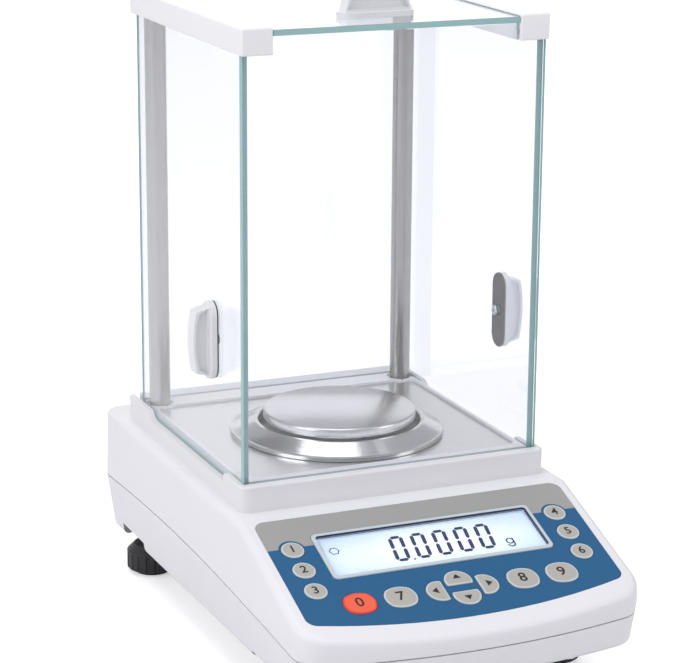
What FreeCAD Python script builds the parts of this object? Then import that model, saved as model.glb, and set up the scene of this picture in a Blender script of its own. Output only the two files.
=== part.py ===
"""An analytical balance: housing, draft chamber with sliding doors, pan, load cell, keys and levelling feet.

Frame: +Z up, the keyboard faces -Y, x = 0 is the plane of symmetry, and z = 0 is the surface it stands on.
All lengths are in millimetres. The driving dimensions are in the spreadsheet called sizes.
"""
import FreeCAD, Part
import os
import re
import Sketcher

doc = FreeCAD.newDocument("analytical_balance")
sizes = doc.addObject("Spreadsheet::Sheet", "sizes")

DIMENSIONS = (
    # housing
    ("housing_width", 192, "overall width of the housing"),
    ("housing_length", 325, "overall length, front apex to rear"),
    ("front_bow", 13, "how far the front edge bulges forward"),
    ("front_corner", 18, "plan radius of the front corners"),
    ("rear_corner", 9, "plan radius of the rear corners"),
    ("ground_gap", 19, "ground to the underside of the housing at the rear"),
    ("lower_depth", 28.5, "underside at the rear to the level where the screw bosses meet"),
    ("upper_depth", 46, "height of the flat top above the level where the bosses meet"),
    ("shell_wall", 3, "wall of both shells"),
    ("seam_gap", 0.7, "visible seam between the shells"),
    ("seam_rear", 4.5, "seam at the rear above the level where the bosses meet"),
    ("seam_front", 0.7, "seam at the front above the same level"),
    ("seam_turn", 135, "where the arched seam levels out, ahead of the origin"),
    ("seam_arch", 6.2, "arch of the seam along the sides"),
    ("belt_up", 5.5, "widest level of the housing above the level where the bosses meet"),
    ("floor_rise", 1.1, "rise of the underside towards the front in degrees"),
    ("chin_back", 72, "where the underside steepens, ahead of the origin"),
    ("chin_rise", 5.2, "rise of the steeper underside in degrees"),
    ("upper_draft", 1.5, "side draft of the upper shell in degrees"),
    ("lower_draft", 8, "side draft of the lower shell in degrees"),
    ("top_round", 4, "radius of the upper shell's top edge"),
    ("bottom_round", 5, "radius of the lower shell's bottom edge"),
    ("slope_length", 100.1, "plan length of the sloping keyboard, from the front apex"),
    ("slope_angle", 20, "slope of the keyboard in degrees"),
    # feet
    ("foot_across", 78, "half the distance between left and right feet"),
    ("foot_front", 84, "front feet ahead of the origin"),
    ("foot_rear", 126, "rear feet behind the origin"),
    ("pad_radius", 11, "foot pad radius"),
    ("pad_thick", 2.1, "foot pad thickness"),
    ("wheel_radius", 15, "levelling wheel radius"),
    ("wheel_thick", 11.6, "levelling wheel's knurled height"),
    ("cone_height", 4.6, "shoulder above the knurled part"),
    ("knurl_count", 18, "grooves round a levelling wheel"),
    ("knurl_radius", 1.3, "radius of one knurl groove"),
    ("stud_radius", 4, "threaded stud radius"),
    ("stud_fit", 0.05, "radial running clearance of the stud"),
    ("pin_radius", 3, "swivel pin of the foot pad"),
    ("bush_wall", 2.6, "wall of the brass foot bush"),
    ("bush_length", 15, "length of the brass foot bush"),
    ("well_radius", 23.6, "radius of the well over a foot wheel"),
    ("well_height", 8.5, "top of the well above the underside at the rear"),
    ("well_ahead", 8, "centre of the well ahead of its foot"),
    # chamber
    ("pan_offset", 30, "pan axis behind the origin"),
    ("tray_width", 177, "width of the chamber tray"),
    ("tray_ahead", 80, "tray front ahead of the pan axis"),
    ("tray_behind", 106, "tray rear behind the pan axis"),
    ("tray_height", 14, "height of the chamber tray"),
    ("tray_corner", 5, "plan radius of the tray's corners"),
    ("tray_deck", 4.5, "thickness of the tray's deck"),
    ("tray_wall", 3, "wall of the tray's skirt"),
    ("plate_drop", 1.5, "floor plate surface below the tray's rim"),
    ("groove_depth", 4.5, "depth of the glass grooves in the tray"),
    ("chamber_height", 223.5, "tray rim to the underside of the rails"),
    ("rail_span", 172.2, "overall width across both rails"),
    ("rail_width", 17, "width of one rail"),
    ("rail_height", 14, "height of one rail"),
    ("rail_ahead", 76.5, "rail front ahead of the pan axis"),
    ("rail_behind", 97.2, "rail rear behind the pan axis"),
    ("rail_socket", 5, "depth of the glass slots in the rails"),
    ("rail_round", 1.2, "edge radius of the rails"),
    ("post_across", 74.4, "half the distance between the posts"),
    ("post_behind", 81.4, "posts behind the pan axis"),
    ("post_radius", 6, "post radius"),
    ("boss_radius", 9.5, "post boss radius on the tray"),
    ("boss_rise", 2, "post boss above the tray's deck"),
    # glass
    ("fixed_glass", 4, "thickness of the front and rear glass"),
    ("front_width", 170, "width of the front glass"),
    ("front_ahead", 74.2, "front glass ahead of the pan axis"),
    ("door_glass", 3.5, "thickness of the side doors"),
    ("door_wall", 1, "outer wall of the rail beside a door"),
    ("door_travel", 100, "travel of a side door"),
    ("top_glass_thick", 3, "thickness of the top door"),
    ("top_glass_drop", 1.4, "top door surface below the rail's top"),
    ("top_glass_hold", 3, "how far the top door runs into each rail"),
    ("rear_glass_behind", 89.5, "rear glass behind the pan axis"),
    ("slide_gap", 0.3, "clearance round every sliding pane"),
    # handles
    ("handle_length", 42.5, "length of a door handle's foot"),
    ("handle_width", 15.3, "width of a door handle's foot"),
    ("handle_foot", 2.8, "thickness of a door handle's foot"),
    ("handle_reach", 12.5, "how far a door handle stands out"),
    ("handle_bulge", 1.8, "bulge of a handle's outer edge"),
    ("handle_grip", 9, "thickness of a handle's grip"),
    ("handle_rim", 1.7, "rim round the dished sides of a grip"),
    ("handle_dish", 1.8, "depth of the dished sides of a grip"),
    ("pad_sheet", 0.8, "thickness of the rubber pad under a handle"),
    ("handle_up", 67.2, "side handle's centre above the tray's rim"),
    ("handle_ahead", 30, "side handle's centre ahead of the pan axis"),
    ("top_handle_ahead", 45, "top handle's centre ahead of the pan axis"),
    ("screw_radius", 1.5, "handle screw shank"),
    ("screw_head", 3, "handle screw head radius"),
    ("screw_head_thick", 1.8, "handle screw head height"),
    ("screw_bite", 7, "handle screw length inside the handle"),
    # floor, ring and pan
    ("floor_half", 79, "half the width of the floor plate"),
    ("floor_ahead", 63.8, "floor plate ahead of the pan axis"),
    ("floor_behind", 74, "floor plate behind the pan axis"),
    ("floor_thick", 1.2, "floor plate thickness"),
    ("floor_corner", 8, "corner radius of the floor plate"),
    ("floor_hole", 47, "hole in the floor plate"),
    ("rest_gap", 0.3, "gap under pieces that lift off"),
    ("ring_outer", 58.3, "draft ring outer radius"),
    ("ring_inner", 45.2, "draft ring inner radius"),
    ("ring_height", 7.5, "draft ring height"),
    ("ring_lip", 2.4, "height of the draft ring's rolled outer lip"),
    ("ring_sheet", 1.2, "draft ring sheet thickness"),
    ("pan_radius", 42.5, "weighing pan radius"),
    ("pan_rise", 12, "pan top above the tray's rim"),
    ("pan_skirt", 5, "height of the pan's turned-down edge"),
    ("pan_sheet", 1.2, "pan sheet thickness"),
    ("pan_edge", 1.2, "pan edge radius"),
    ("socket_radius", 9, "boss under the pan"),
    ("carrier_radius", 5, "load carrier shaft radius"),
    ("carrier_gap", 0.3, "clearance round the load carrier's seat"),
    ("collar_radius", 14, "hole for the load carrier in tray and shell"),
    ("collar_wall", 2, "wall of the spill collar"),
    ("collar_rise", 4, "spill collar above the tray's deck"),
    # keyboard, in the plane of the slope
    ("overlay_half", 88.2, "half the width of the keypad film"),
    ("overlay_top", 1.8, "film's upper edge below the top of the slope"),
    ("overlay_side", 82, "film's lower side corners below the top of the slope"),
    ("overlay_bow", 11.5, "bulge of the film's lower edge"),
    ("overlay_corner", 6, "film corner radius"),
    ("overlay_thick", 0.8, "film thickness"),
    ("fit_gap", 0.2, "clearance of inlaid pieces"),
    ("screen_down", 34.6, "display centre below the top of the slope"),
    ("screen_width", 120.8, "display opening width"),
    ("screen_height", 31.7, "display opening height"),
    ("bezel_wall", 2.1, "display bezel wall"),
    ("bezel_rise", 0.6, "display bezel above the film"),
    ("bezel_corner", 3, "display bezel corner radius"),
    ("bezel_flange", 1.8, "flange that holds the bezel under the shell"),
    ("window_drop", 0.6, "display window below the film"),
    ("window_thick", 1, "display window thickness"),
    ("board_drop", 6.2, "keyboard circuit board below the film"),
    ("board_thick", 1.6, "circuit board thickness"),
    ("key_rise", 0.5, "key top above the film"),
    ("key_gap", 0.3, "clearance round a key"),
    ("key_travel", 0.5, "key travel"),
    ("key_flange", 0.9, "flange that holds a key under the shell"),
    ("key_edge", 0.3, "chamfer on a key's top"),
    ("round_key", 6, "radius of the round keys"),
    ("barrel_half", 8.75, "half the width of the large keys"),
    ("barrel_tall", 7.75, "half the height of the large keys"),
    ("arrow_radius", 7.5, "radius of an arrow key"),
    ("arrow_flat", 2.9, "flat of an arrow key from its centre"),
    ("side_keys", 75.2, "round key columns from the middle"),
    ("side_key_top", 26.2, "first round key below the top of the slope"),
    ("side_key_step", 16.3, "distance between round keys"),
    ("row_down", 72.3, "large key row below the top of the slope"),
    ("inner_keys", 34.3, "inner large keys from the middle"),
    ("outer_keys", 56.7, "outer large keys from the middle"),
    ("arrow_across", 9.6, "flat of the left and right arrows from the middle"),
    ("arrow_along", 2.6, "flat of the up and down arrows from the row"),
    # inside
    ("chassis_half", 49, "half the width of the chassis plate"),
    ("chassis_front", 105, "chassis plate ahead of the origin"),
    ("chassis_rear", 140, "chassis plate behind the origin"),
    ("chassis_thick", 4, "chassis plate thickness"),
    ("chassis_up", 11, "chassis plate above the underside at the rear"),
    ("cell_half", 30, "half the width of the load cell's frame"),
    ("cell_ahead", 18, "load cell frame ahead of the pan axis"),
    ("cell_behind", 97, "load cell frame behind the pan axis"),
    ("cell_base", 8, "load cell base thickness"),
    ("cell_tall", 44, "load cell frame height"),
    ("pivot_behind", 26, "lever pivot behind the pan axis"),
    ("pivot_up", 30, "lever pivot above the chassis plate"),
    ("pivot_radius", 2, "lever pivot pin radius"),
    ("lever_half", 5, "half the width of the lever"),
    ("lever_tall", 6, "lever height"),
    ("lever_gap", 0.4, "clearance between lever and load carrier"),
    ("coil_behind", 72, "coil axis behind the pan axis"),
    ("coil_radius", 10, "coil outer radius"),
    ("coil_wall", 1.5, "coil wall"),
    ("magnet_gap", 1, "clearance each side of the coil"),
    ("magnet_wall", 4, "outer wall of the magnet pot"),
    ("screw_across", 82, "housing side screws from the middle"),
    ("screw_near", 30, "front pair of side screws ahead of the origin"),
    ("screw_far", 80, "rear pair of side screws behind the origin"),
    ("nose_across", 50, "nose screws from the middle"),
    ("nose_front", 150, "nose screws ahead of the origin"),
    ("boss_wall", 5, "screw boss radius"),
    ("shell_screw", 2, "housing screw shank radius"),
    ("shell_screw_head", 3.8, "housing screw head radius"),
    ("connector_up", 18, "rear connectors above the seam"),
    ("serial_across", 40, "serial connector from the middle"),
    ("serial_pitch", 24.99, "distance between the jack screws"),
    ("power_across", 40, "power inlet from the middle"),
    ("vial_radius", 9, "level vial radius"),
    ("vial_inset", 13, "level vial axis ahead of the rear face"),
)
for row, (alias, value, meaning) in enumerate(DIMENSIONS, 1):
    sizes.set(f"A{row}", str(value))
    sizes.setAlias(f"A{row}", alias)
    sizes.set(f"B{row}", meaning)
doc.recompute()

# Levels and planes worked out from the driving dimensions.
DERIVED = {
    "HALF": "(housing_width / 2)",
    "REAR": "(housing_length / 2)",
    "FRONT": "(-housing_length / 2)",
    "SEAM": "(ground_gap + lower_depth)",
    "FLAT": "(ground_gap + lower_depth + upper_depth)",
    "SLOPE": "(slope_length - housing_length / 2)",
    "RIM": "(ground_gap + lower_depth + upper_depth + tray_height)",
    "DECK": "(RIM - plate_drop - floor_thick - rest_gap)",
    "SILL": "(RIM - groove_depth)",
    "TRAY_FRONT": "(pan_offset - tray_ahead)",
    "TRAY_REAR": "(pan_offset + tray_behind)",
    "RAIL_LOW": "(RIM + chamber_height)",
    "RAIL_TOP": "(RAIL_LOW + rail_height)",
    "RAIL_IN": "(rail_span / 2 - rail_width)",
    "DOOR_OUT": "(rail_span / 2 - door_wall - slide_gap)",
    "DOOR_IN": "(DOOR_OUT - door_glass)",
    "GLASS_FRONT": "(pan_offset - front_ahead)",
    "GLASS_REAR": "(pan_offset + rear_glass_behind)",
    "POST_Y": "(pan_offset + post_behind)",
    "TOP_DOOR": "(RAIL_TOP - top_glass_drop)",
    "BELT": "(SEAM + belt_up)",
    "CHASSIS": "(ground_gap + chassis_up)",
    "CELL": "(CHASSIS + chassis_thick)",
    "PIVOT": "(CELL + pivot_up)",
    "BACK": "(REAR - shell_wall - (connector_up + 12) * tan(upper_draft))",
}
WORDS = re.compile(r"\b(" + "|".join(DERIVED) + r")\b")
ALIASES = re.compile(r"\b(" + "|".join(alias for alias, value, meaning in DIMENSIONS) + r")\b")


def spelled(words):
    """The expression with its derived words written out and its aliases pointed at the sheet."""
    while WORDS.search(words):
        words = WORDS.sub(lambda found: DERIVED[found.group(1)], words)
    return ALIASES.sub(r"sizes.\1", words)


def number(words):
    return float(sizes.evalExpression(spelled(words)))


def bind(item, prop, words):
    item.setExpression(prop, spelled(words))


def place(item, x="0", y="0", z="0"):
    for axis, words in zip("xyz", (x, y, z)):
        bind(item, f"Placement.Base.{axis}", words)
    return item


def box(name, x, y, z):
    """A block between two limits on each axis."""
    item = doc.addObject("Part::Box", name)
    for prop, (low, high) in zip(("Length", "Width", "Height"), (x, y, z)):
        bind(item, prop, f"({high}) - ({low})")
    return place(item, x[0], y[0], z[0])


def rod(name, radius, x, y, z):
    """An upright cylinder between two heights."""
    item = doc.addObject("Part::Cylinder", name)
    bind(item, "Radius", radius)
    bind(item, "Height", f"({z[1]}) - ({z[0]})")
    return place(item, x, y, z[0])


def axle(name, radius, along, across, up, axis):
    """A cylinder lying along X or Y: along is its pair of limits, across its other plan place."""
    item = doc.addObject("Part::Cylinder", name)
    bind(item, "Radius", radius)
    bind(item, "Height", f"({along[1]}) - ({along[0]})")
    if axis == "X":
        item.Placement.Rotation = FreeCAD.Rotation(FreeCAD.Vector(0, 1, 0), 90)
        return place(item, along[0], across, up)
    item.Placement.Rotation = FreeCAD.Rotation(FreeCAD.Vector(1, 0, 0), -90)
    return place(item, across, along[0], up)


def join(name, *pieces):
    item = doc.addObject("Part::MultiFuse", name)
    item.Shapes = list(pieces)
    item.Refine = True
    return item


def group(name, pieces):
    """Separate solids that share one node."""
    item = doc.addObject("Part::Compound", name)
    item.Links = list(pieces)
    return item


def cut(name, base, *tools):
    item = doc.addObject("Part::Cut", name)
    item.Base = base
    item.Tool = tools[0] if len(tools) == 1 else join(name + "_tools", *tools)
    item.Refine = True
    return item


def common(name, *pieces):
    item = doc.addObject("Part::MultiCommon", name)
    item.Shapes = list(pieces)
    return item


def rounded(name, base, radius, wanted, kind="Part::Fillet"):
    """A fillet, or a chamfer, on the edges that wanted(edge) picks."""
    doc.recompute()
    item = doc.addObject(kind, name)
    item.Base = base
    size = number(radius)
    item.Edges = [(i, size, size) for i, edge in enumerate(base.Shape.Edges, 1) if wanted(edge)]
    return item


def origin_plane(body, role):
    return next(plane for plane in body.Origin.OriginFeatures if plane.Role == role)


def profile(body, name, role, corners, lift="0", arcs=None):
    """A closed sketch through corners; arcs gives the radius of a side that bulges outwards."""
    arcs = arcs or {}
    sketch = body.newObject("Sketcher::SketchObject", name)
    sketch.AttachmentSupport = (origin_plane(body, role), [""])
    sketch.MapMode = "FlatFace"
    bind(sketch, "AttachmentOffset.Base.z", lift)
    points = [FreeCAD.Vector(number(x), number(y), 0) for x, y in corners]
    count = len(points)
    for i, start in enumerate(points):
        end = points[(i + 1) % count]
        if i in arcs:
            radius = number(arcs[i])
            middle = (start + end) / 2
            half = (end - start).Length / 2
            outward = FreeCAD.Vector((end - start).y, -(end - start).x, 0).normalize()
            apex = middle + outward * (radius - (radius**2 - half**2) ** 0.5)
            sketch.addGeometry(Part.Arc(start, apex, end), False)
        else:
            sketch.addGeometry(Part.LineSegment(start, end), False)
    ends = []
    for i, start in enumerate(points):
        first = (sketch.Geometry[i].StartPoint - start).Length < 1e-6
        ends.append((1, 2) if first else (2, 1))
    for i in range(count):
        after = (i + 1) % count
        sketch.addConstraint(Sketcher.Constraint("Coincident", i, ends[i][1], after, ends[after][0]))
    for i, corner in enumerate(corners):
        for kind, words, value in zip(("DistanceX", "DistanceY"), corner, (points[i].x, points[i].y)):
            index = sketch.addConstraint(Sketcher.Constraint(kind, -1, 1, i, ends[i][0], value))
            bind(sketch, f"Constraints[{index}]", words)
    for i, words in arcs.items():
        index = sketch.addConstraint(Sketcher.Constraint("Radius", i, number(words)))
        bind(sketch, f"Constraints[{index}]", words)
    return sketch


def slab(name, role, corners, low, high, arcs=None, rounds=None, draft=None, down=False):
    """A padded profile. rounds is a list of (radius, test) for the edges that run along the pad."""
    body = doc.addObject("PartDesign::Body", name)
    sketch = profile(body, name + "_profile", role, corners, high if down else low, arcs)
    pad = body.newObject("PartDesign::Pad", name + "_pad")
    pad.Profile = sketch
    pad.Reversed = down
    bind(pad, "Length", f"({high}) - ({low})")
    if draft:
        bind(pad, "TaperAngle", f"-{draft}")
    doc.recompute()
    last = pad
    for i, (radius, test) in enumerate(rounds or ()):
        names = [f"Edge{n}" for n, edge in enumerate(last.Shape.Edges, 1) if test(edge)]
        fillet = body.newObject("PartDesign::Fillet", f"{name}_round_{i}")
        fillet.Base = (last, names)
        bind(fillet, "Radius", radius)
        doc.recompute()
        last = fillet
    return body


def turned(name, corners, x="0", y="0"):
    """A revolved half section, given as (radius, height) corners."""
    body = doc.addObject("PartDesign::Body", name)
    sketch = profile(body, name + "_section", "XZ_Plane", corners)
    spin = body.newObject("PartDesign::Revolution", name + "_turn")
    spin.Profile = sketch
    spin.ReferenceAxis = (sketch, ["V_Axis"])
    spin.Angle = 360
    return place(body, x, y)


def both(words):
    """Limits mirrored about zero."""
    return (f"-({words})", words)


def span(side, inner, outer):
    """Limits on one side of the plane of symmetry."""
    return (inner, outer) if side > 0 else (f"-({outer})", f"-({inner})")


def at(side, words):
    return words if side > 0 else f"-({words})"


def rectangle(x, y):
    return [(x[0], y[0]), (x[1], y[0]), (x[1], y[1]), (x[0], y[1])]


def upright(edge):
    """An edge that climbs more than it runs."""
    ends = [vertex.Point for vertex in edge.Vertexes]
    if len(ends) < 2:
        return False
    rise = abs(ends[1].z - ends[0].z)
    return rise > 0.5 * (ends[1] - ends[0]).Length


def middle_of(edge):
    return edge.valueAt((edge.FirstParameter + edge.LastParameter) / 2)


def on_slope(item):
    """Puts a piece that was drawn flat into the plane of the keyboard."""
    item.Placement.Rotation = FreeCAD.Rotation(FreeCAD.Vector(1, 0, 0), number("slope_angle"))
    bind(item, "Placement.Rotation.Angle", "slope_angle")
    return place(item, "0", "SLOPE", "FLAT")


NODES = []


def node(item, label):
    item.Label = label
    NODES.append(item)
    return item


# ---- housing shells -------------------------------------------------------------------------
def bow_radius(half, bow):
    return f"((({half})^2 + ({bow})^2) / (2 * ({bow})))"


def shell_form(name, inset, low, high, draft, down):
    """The plan shape of the housing, drafted up or down from its widest level, or inset by the wall."""
    half = f"(HALF - {inset})"
    rear = f"(REAR - {inset})"
    bow = bow_radius(half, "front_bow")
    front = f"(front_corner - {inset})"
    back = f"(rear_corner - {inset})"
    bow_centre = f"(FRONT + {inset} + {bow})"
    across = f"({half} - {front})"
    along = f"({bow_centre} - sqrt(({bow} - {front})^2 - {across}^2))"
    reach = f"({bow} / ({bow} - {front}))"
    touch = (f"({across} * {reach})", f"({bow_centre} + ({along} - {bow_centre}) * {reach})")
    corners = [
        (f"-{touch[0]}", touch[1]), touch, (half, along), (half, f"{rear} - {back}"),
        (f"{half} - {back}", rear), (f"-({half} - {back})", rear), (f"-{half}", f"{rear} - {back}"),
        (f"-{half}", along),
    ]
    return slab(name, "XY_Plane", corners, low, high, {0: bow, 1: front, 3: back, 5: back, 7: front},
                None, draft, down)


def above_slope(name, drop):
    """The space over the plane of the keyboard, lowered squarely by drop."""
    run = "(slope_length + 20)"
    low = f"(FLAT - {drop} / cos(slope_angle))"
    corners = [
        ("SLOPE + 20", f"{low} + 20 * tan(slope_angle)"),
        (f"SLOPE - {run}", f"{low} + 40"),
        (f"SLOPE - {run}", f"{low} - {run} * tan(slope_angle)"),
    ]
    return slab(name, "YZ_Plane", corners, "-HALF - 10", "HALF + 10")


def key_form(name, kind, low, high, grow):
    """The plan shape of a key, flat on its own centre, made bigger by grow."""
    if kind == "round":
        radius = f"round_key + {grow}"
        return turned(name, [("0", low), (radius, low), (radius, high), ("0", high)])
    if kind == "barrel":
        wide = f"(barrel_half + {grow})"
        tall = f"(barrel_tall + {grow})"
        x = f"(0.75 * {wide})"
        y = f"(0.75 * {tall})"
        flat = bow_radius(x, f"({tall} - {y})")
        side = bow_radius(y, f"({wide} - {x})")
        return slab(name, "XY_Plane", rectangle((f"-{x}", x), (f"-{y}", y)), low, high,
                    {0: flat, 1: side, 2: flat, 3: side})
    disc = rod(name + "_disc", f"arrow_radius + {grow}", "0", "arrow_flat", (low, high))
    trim = box(name + "_trim", ("-20", "20"), ("-20", f"-({grow})"), (f"{low} - 1", f"{high} + 1"))
    return cut(name, disc, trim)


# name, shape, place across, place down the slope, turn of the shape in degrees
KEYS = [
    (f"key_{side}_{place_name}", "round", at(sign, "side_keys"),
     f"-(side_key_top + {step} * side_key_step)", 0)
    for side, sign in (("left", -1), ("right", 1))
    for step, place_name in enumerate(("upper", "middle", "lower"))
] + [
    ("key_outer_left", "barrel", "-outer_keys", "-row_down", 0),
    ("key_inner_left", "barrel", "-inner_keys", "-row_down", 0),
    ("key_inner_right", "barrel", "inner_keys", "-row_down", 0),
    ("key_outer_right", "barrel", "outer_keys", "-row_down", 0),
    ("key_arrow_up", "arrow", "0", "-row_down + arrow_along", 0),
    ("key_arrow_down", "arrow", "0", "-row_down - arrow_along", 180),
    ("key_arrow_left", "arrow", "-arrow_across", "-row_down", 90),
    ("key_arrow_right", "arrow", "arrow_across", "-row_down", -90),
]


def set_key(item, across, down, turn):
    """Turns and places a key shape on the flat keyboard."""
    item.Placement.Rotation = FreeCAD.Rotation(FreeCAD.Vector(0, 0, 1), turn)
    return place(item, across, down)


def key_holes(name, low, high):
    return [set_key(key_form(f"{name}_{key[0]}", key[1], low, high, "key_gap"), *key[2:]) for key in KEYS]


def film_form(name, low, high, grow):
    """The outline of the keypad film, drawn flat."""
    half = f"(overlay_half + {grow})"
    top = f"(-overlay_top + {grow})"
    side = f"(-overlay_side - {grow})"
    corners = rectangle((f"-{half}", half), (side, top))
    return slab(name, "XY_Plane", corners, low, high, {0: bow_radius(half, "overlay_bow")},
                [(f"overlay_corner + {grow}", upright)])


def screen_form(name, low, high, grow, corner):
    """A rounded rectangle round the display opening, drawn flat."""
    x = both(f"screen_width / 2 + {grow}")
    y = (f"-screen_down - screen_height / 2 - ({grow})", f"-screen_down + screen_height / 2 + ({grow})")
    return slab(name, "XY_Plane", rectangle(x, y), low, high, None, [(corner, upright)])


SCREWS = [(at(side, "screw_across"), y) for side in (-1, 1) for y in ("-screw_near", "screw_far")]
SCREWS += [(at(side, "nose_across"), "-nose_front") for side in (-1, 1)]
FEET = [(f"{end}_{side}", at(sign, "foot_across"), y)
        for end, y in (("front", "-foot_front"), ("rear", "foot_rear"))
        for side, sign in (("left", -1), ("right", 1))]
CREASE = "(ground_gap + (REAR + chin_back) * tan(floor_rise))"


def underside(y):
    """Height of the housing's underside at a place along Y."""
    if number(y) > number("-chin_back"):
        return f"(ground_gap + (REAR - ({y})) * tan(floor_rise))"
    return f"({CREASE} + (-chin_back - ({y})) * tan(chin_rise))"


def below_housing(name, lift):
    """The space under the underside, raised by lift."""
    corners = [
        ("FRONT - 20", "-20"), ("REAR + 20", "-20"),
        ("REAR + 20", f"{underside('REAR + 20')} + {lift}"),
        ("-chin_back", f"{CREASE} + {lift}"),
        ("FRONT - 20", f"{underside('FRONT - 20')} + {lift}"),
    ]
    return slab(name, "YZ_Plane", corners, "-HALF - 10", "HALF + 10")


def below_seam(name, drop):
    """The space under the arched seam, lowered by drop."""
    front = f"SEAM + seam_front - {drop}"
    corners = [
        ("FRONT - 20", "-20"), ("REAR + 10", "-20"), ("REAR + 10", f"SEAM + seam_rear - {drop}"),
        ("-seam_turn", front), ("FRONT - 20", front),
    ]
    return slab(name, "YZ_Plane", corners, "-HALF - 10", "HALF + 10",
                {2: bow_radius("((REAR + 10 + seam_turn) / 2)", "seam_arch")})


def top_edge(edge):
    """An outer edge of the flat top or of the sloping keyboard."""
    point = middle_of(edge)
    if upright(edge) or point.z < number("BELT + 1"):
        return False
    crease = abs(point.y - number("SLOPE")) < 0.5 and abs(point.x) < 1
    return not crease


def bottom_edge(edge):
    """An outer edge of the underside."""
    point = middle_of(edge)
    crease = abs(point.x) < 1 and abs(point.y + number("chin_back")) < 1
    return not crease and abs(point.z - number(underside(str(point.y)))) < 0.05


housing_block = cut("housing_block",
                    join("housing_form",
                         shell_form("upper_outside", "0", "BELT", "FLAT", "upper_draft", False),
                         shell_form("lower_outside", "0", "ground_gap - 2", "BELT", "lower_draft", True)),
                    above_slope("outside_wedge", "0"), below_housing("outside_floor", "0"))
housing_skin = rounded("housing_skin", rounded("housing_top", housing_block, "top_round", top_edge),
                       "bottom_round", bottom_edge)
cavity = cut("cavity",
             join("cavity_form",
                  shell_form("upper_inside", "shell_wall", "BELT", "FLAT - shell_wall", "upper_draft", False),
                  shell_form("lower_inside", "shell_wall", "ground_gap", "BELT", "lower_draft", True)),
             above_slope("cavity_wedge", "shell_wall"), below_housing("cavity_floor", "shell_wall"))
hollow = cut("hollow", housing_skin, cavity)


def boss_top(y):
    """Half way into the shell's wall above a screw boss."""
    if y != "-nose_front":
        return "FLAT - shell_wall / 2"
    return "FLAT - (SLOPE + nose_front) * tan(slope_angle) - shell_wall / 2 - boss_wall * tan(slope_angle)"


upper_bosses = [rod(f"upper_boss_{i}", "boss_wall", x, y, ("SEAM", boss_top(y)))
                for i, (x, y) in enumerate(SCREWS)]
upper_bores = [rod(f"upper_bore_{i}", "shell_screw + slide_gap / 2", x, y, ("SEAM - 1", f"{boss_top(y)} - 2"))
               for i, (x, y) in enumerate(SCREWS)]
recess = box("serial_recess", ("serial_across - 22", "serial_across + 22"),
             ("REAR - shell_wall - 2", "REAR - shell_wall / 2"),
             ("SEAM + connector_up - 12", "SEAM + connector_up + 12"))
serial_hole = box("serial_hole", ("serial_across - 18", "serial_across + 18"), ("REAR - 8", "REAR + 2"),
                  ("SEAM + connector_up - 8", "SEAM + connector_up + 8"))
power_hole = axle("power_hole", "4.6", ("REAR - 8", "REAR + 2"), "-power_across", "SEAM + connector_up", "Y")
vial_hole = rod("vial_hole", "vial_radius + fit_gap", "0", "REAR - vial_inset", ("FLAT - 8", "FLAT + 2"))
carrier_hole = rod("carrier_hole", "collar_radius", "0", "pan_offset", ("FLAT - 8", "FLAT + 2"))
film_recess = on_slope(film_form("film_recess", "-overlay_thick", "4", "fit_gap"))
screen_hole = on_slope(screen_form("screen_hole", "-9", "2", "bezel_wall + fit_gap", "bezel_corner"))
shell_key_holes = on_slope(join("shell_key_holes", *key_holes("shell_hole", "-9", "2")))
upper_hollow = cut("upper_hollow", hollow, below_seam("upper_seam", "0"))
upper_solid = join("upper_solid", upper_hollow, recess, *upper_bosses)
node(cut("upper_housing", upper_solid, serial_hole, power_hole, vial_hole, carrier_hole, film_recess,
         screen_hole, shell_key_holes, *upper_bores), "upper_housing")

lower_hollow = common("lower_hollow", hollow, below_seam("lower_seam", "seam_gap"))
well_top = "(ground_gap + well_height)"
wells = [rod(f"well_{name}", "well_radius + shell_wall", x, f"{y} - well_ahead",
             ("ground_gap - 1", f"{well_top} + shell_wall")) for name, x, y in FEET]
wells_inside = common("wells_inside", join("wells", *wells), housing_skin)
bush_bosses = [rod(f"bush_boss_{name}", "stud_radius + bush_wall + shell_wall", x, y,
                   (well_top, f"{well_top} + bush_length")) for name, x, y in FEET]
lower_bosses = [rod(f"lower_boss_{i}", "boss_wall", x, y, (f"{underside(y)} + 1", "SEAM - seam_gap"))
                for i, (x, y) in enumerate(SCREWS)]
standoffs = [rod(f"standoff_{i}", "5", at(side, "chassis_half - 15"), y, (f"{underside(y)} + 1", "CHASSIS"))
             for i, (side, y) in enumerate((side, y) for side in (-1, 1)
                                           for y in ("20 - chassis_front", "chassis_rear - 40"))]
lower_solid = join("lower_solid", lower_hollow, wells_inside, *bush_bosses, *lower_bosses, *standoffs)
lower_holes = [rod(f"well_hole_{name}", "well_radius", x, f"{y} - well_ahead", ("ground_gap - 2", well_top))
               for name, x, y in FEET]
lower_holes += [rod(f"bush_hole_{name}", "stud_radius + bush_wall", x, y, (well_top + " - 1", "SEAM"))
                for name, x, y in FEET]
lower_holes += [rod(f"screw_hole_{i}", "shell_screw + slide_gap / 2", x, y, (underside(y), "SEAM"))
                for i, (x, y) in enumerate(SCREWS)]
lower_holes += [rod(f"screw_well_{i}", "shell_screw_head + slide_gap", x, y,
                    ("ground_gap - 1", f"{underside(y)} + 4")) for i, (x, y) in enumerate(SCREWS)]
node(cut("lower_housing", lower_solid, *lower_holes), "lower_housing")

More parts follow.
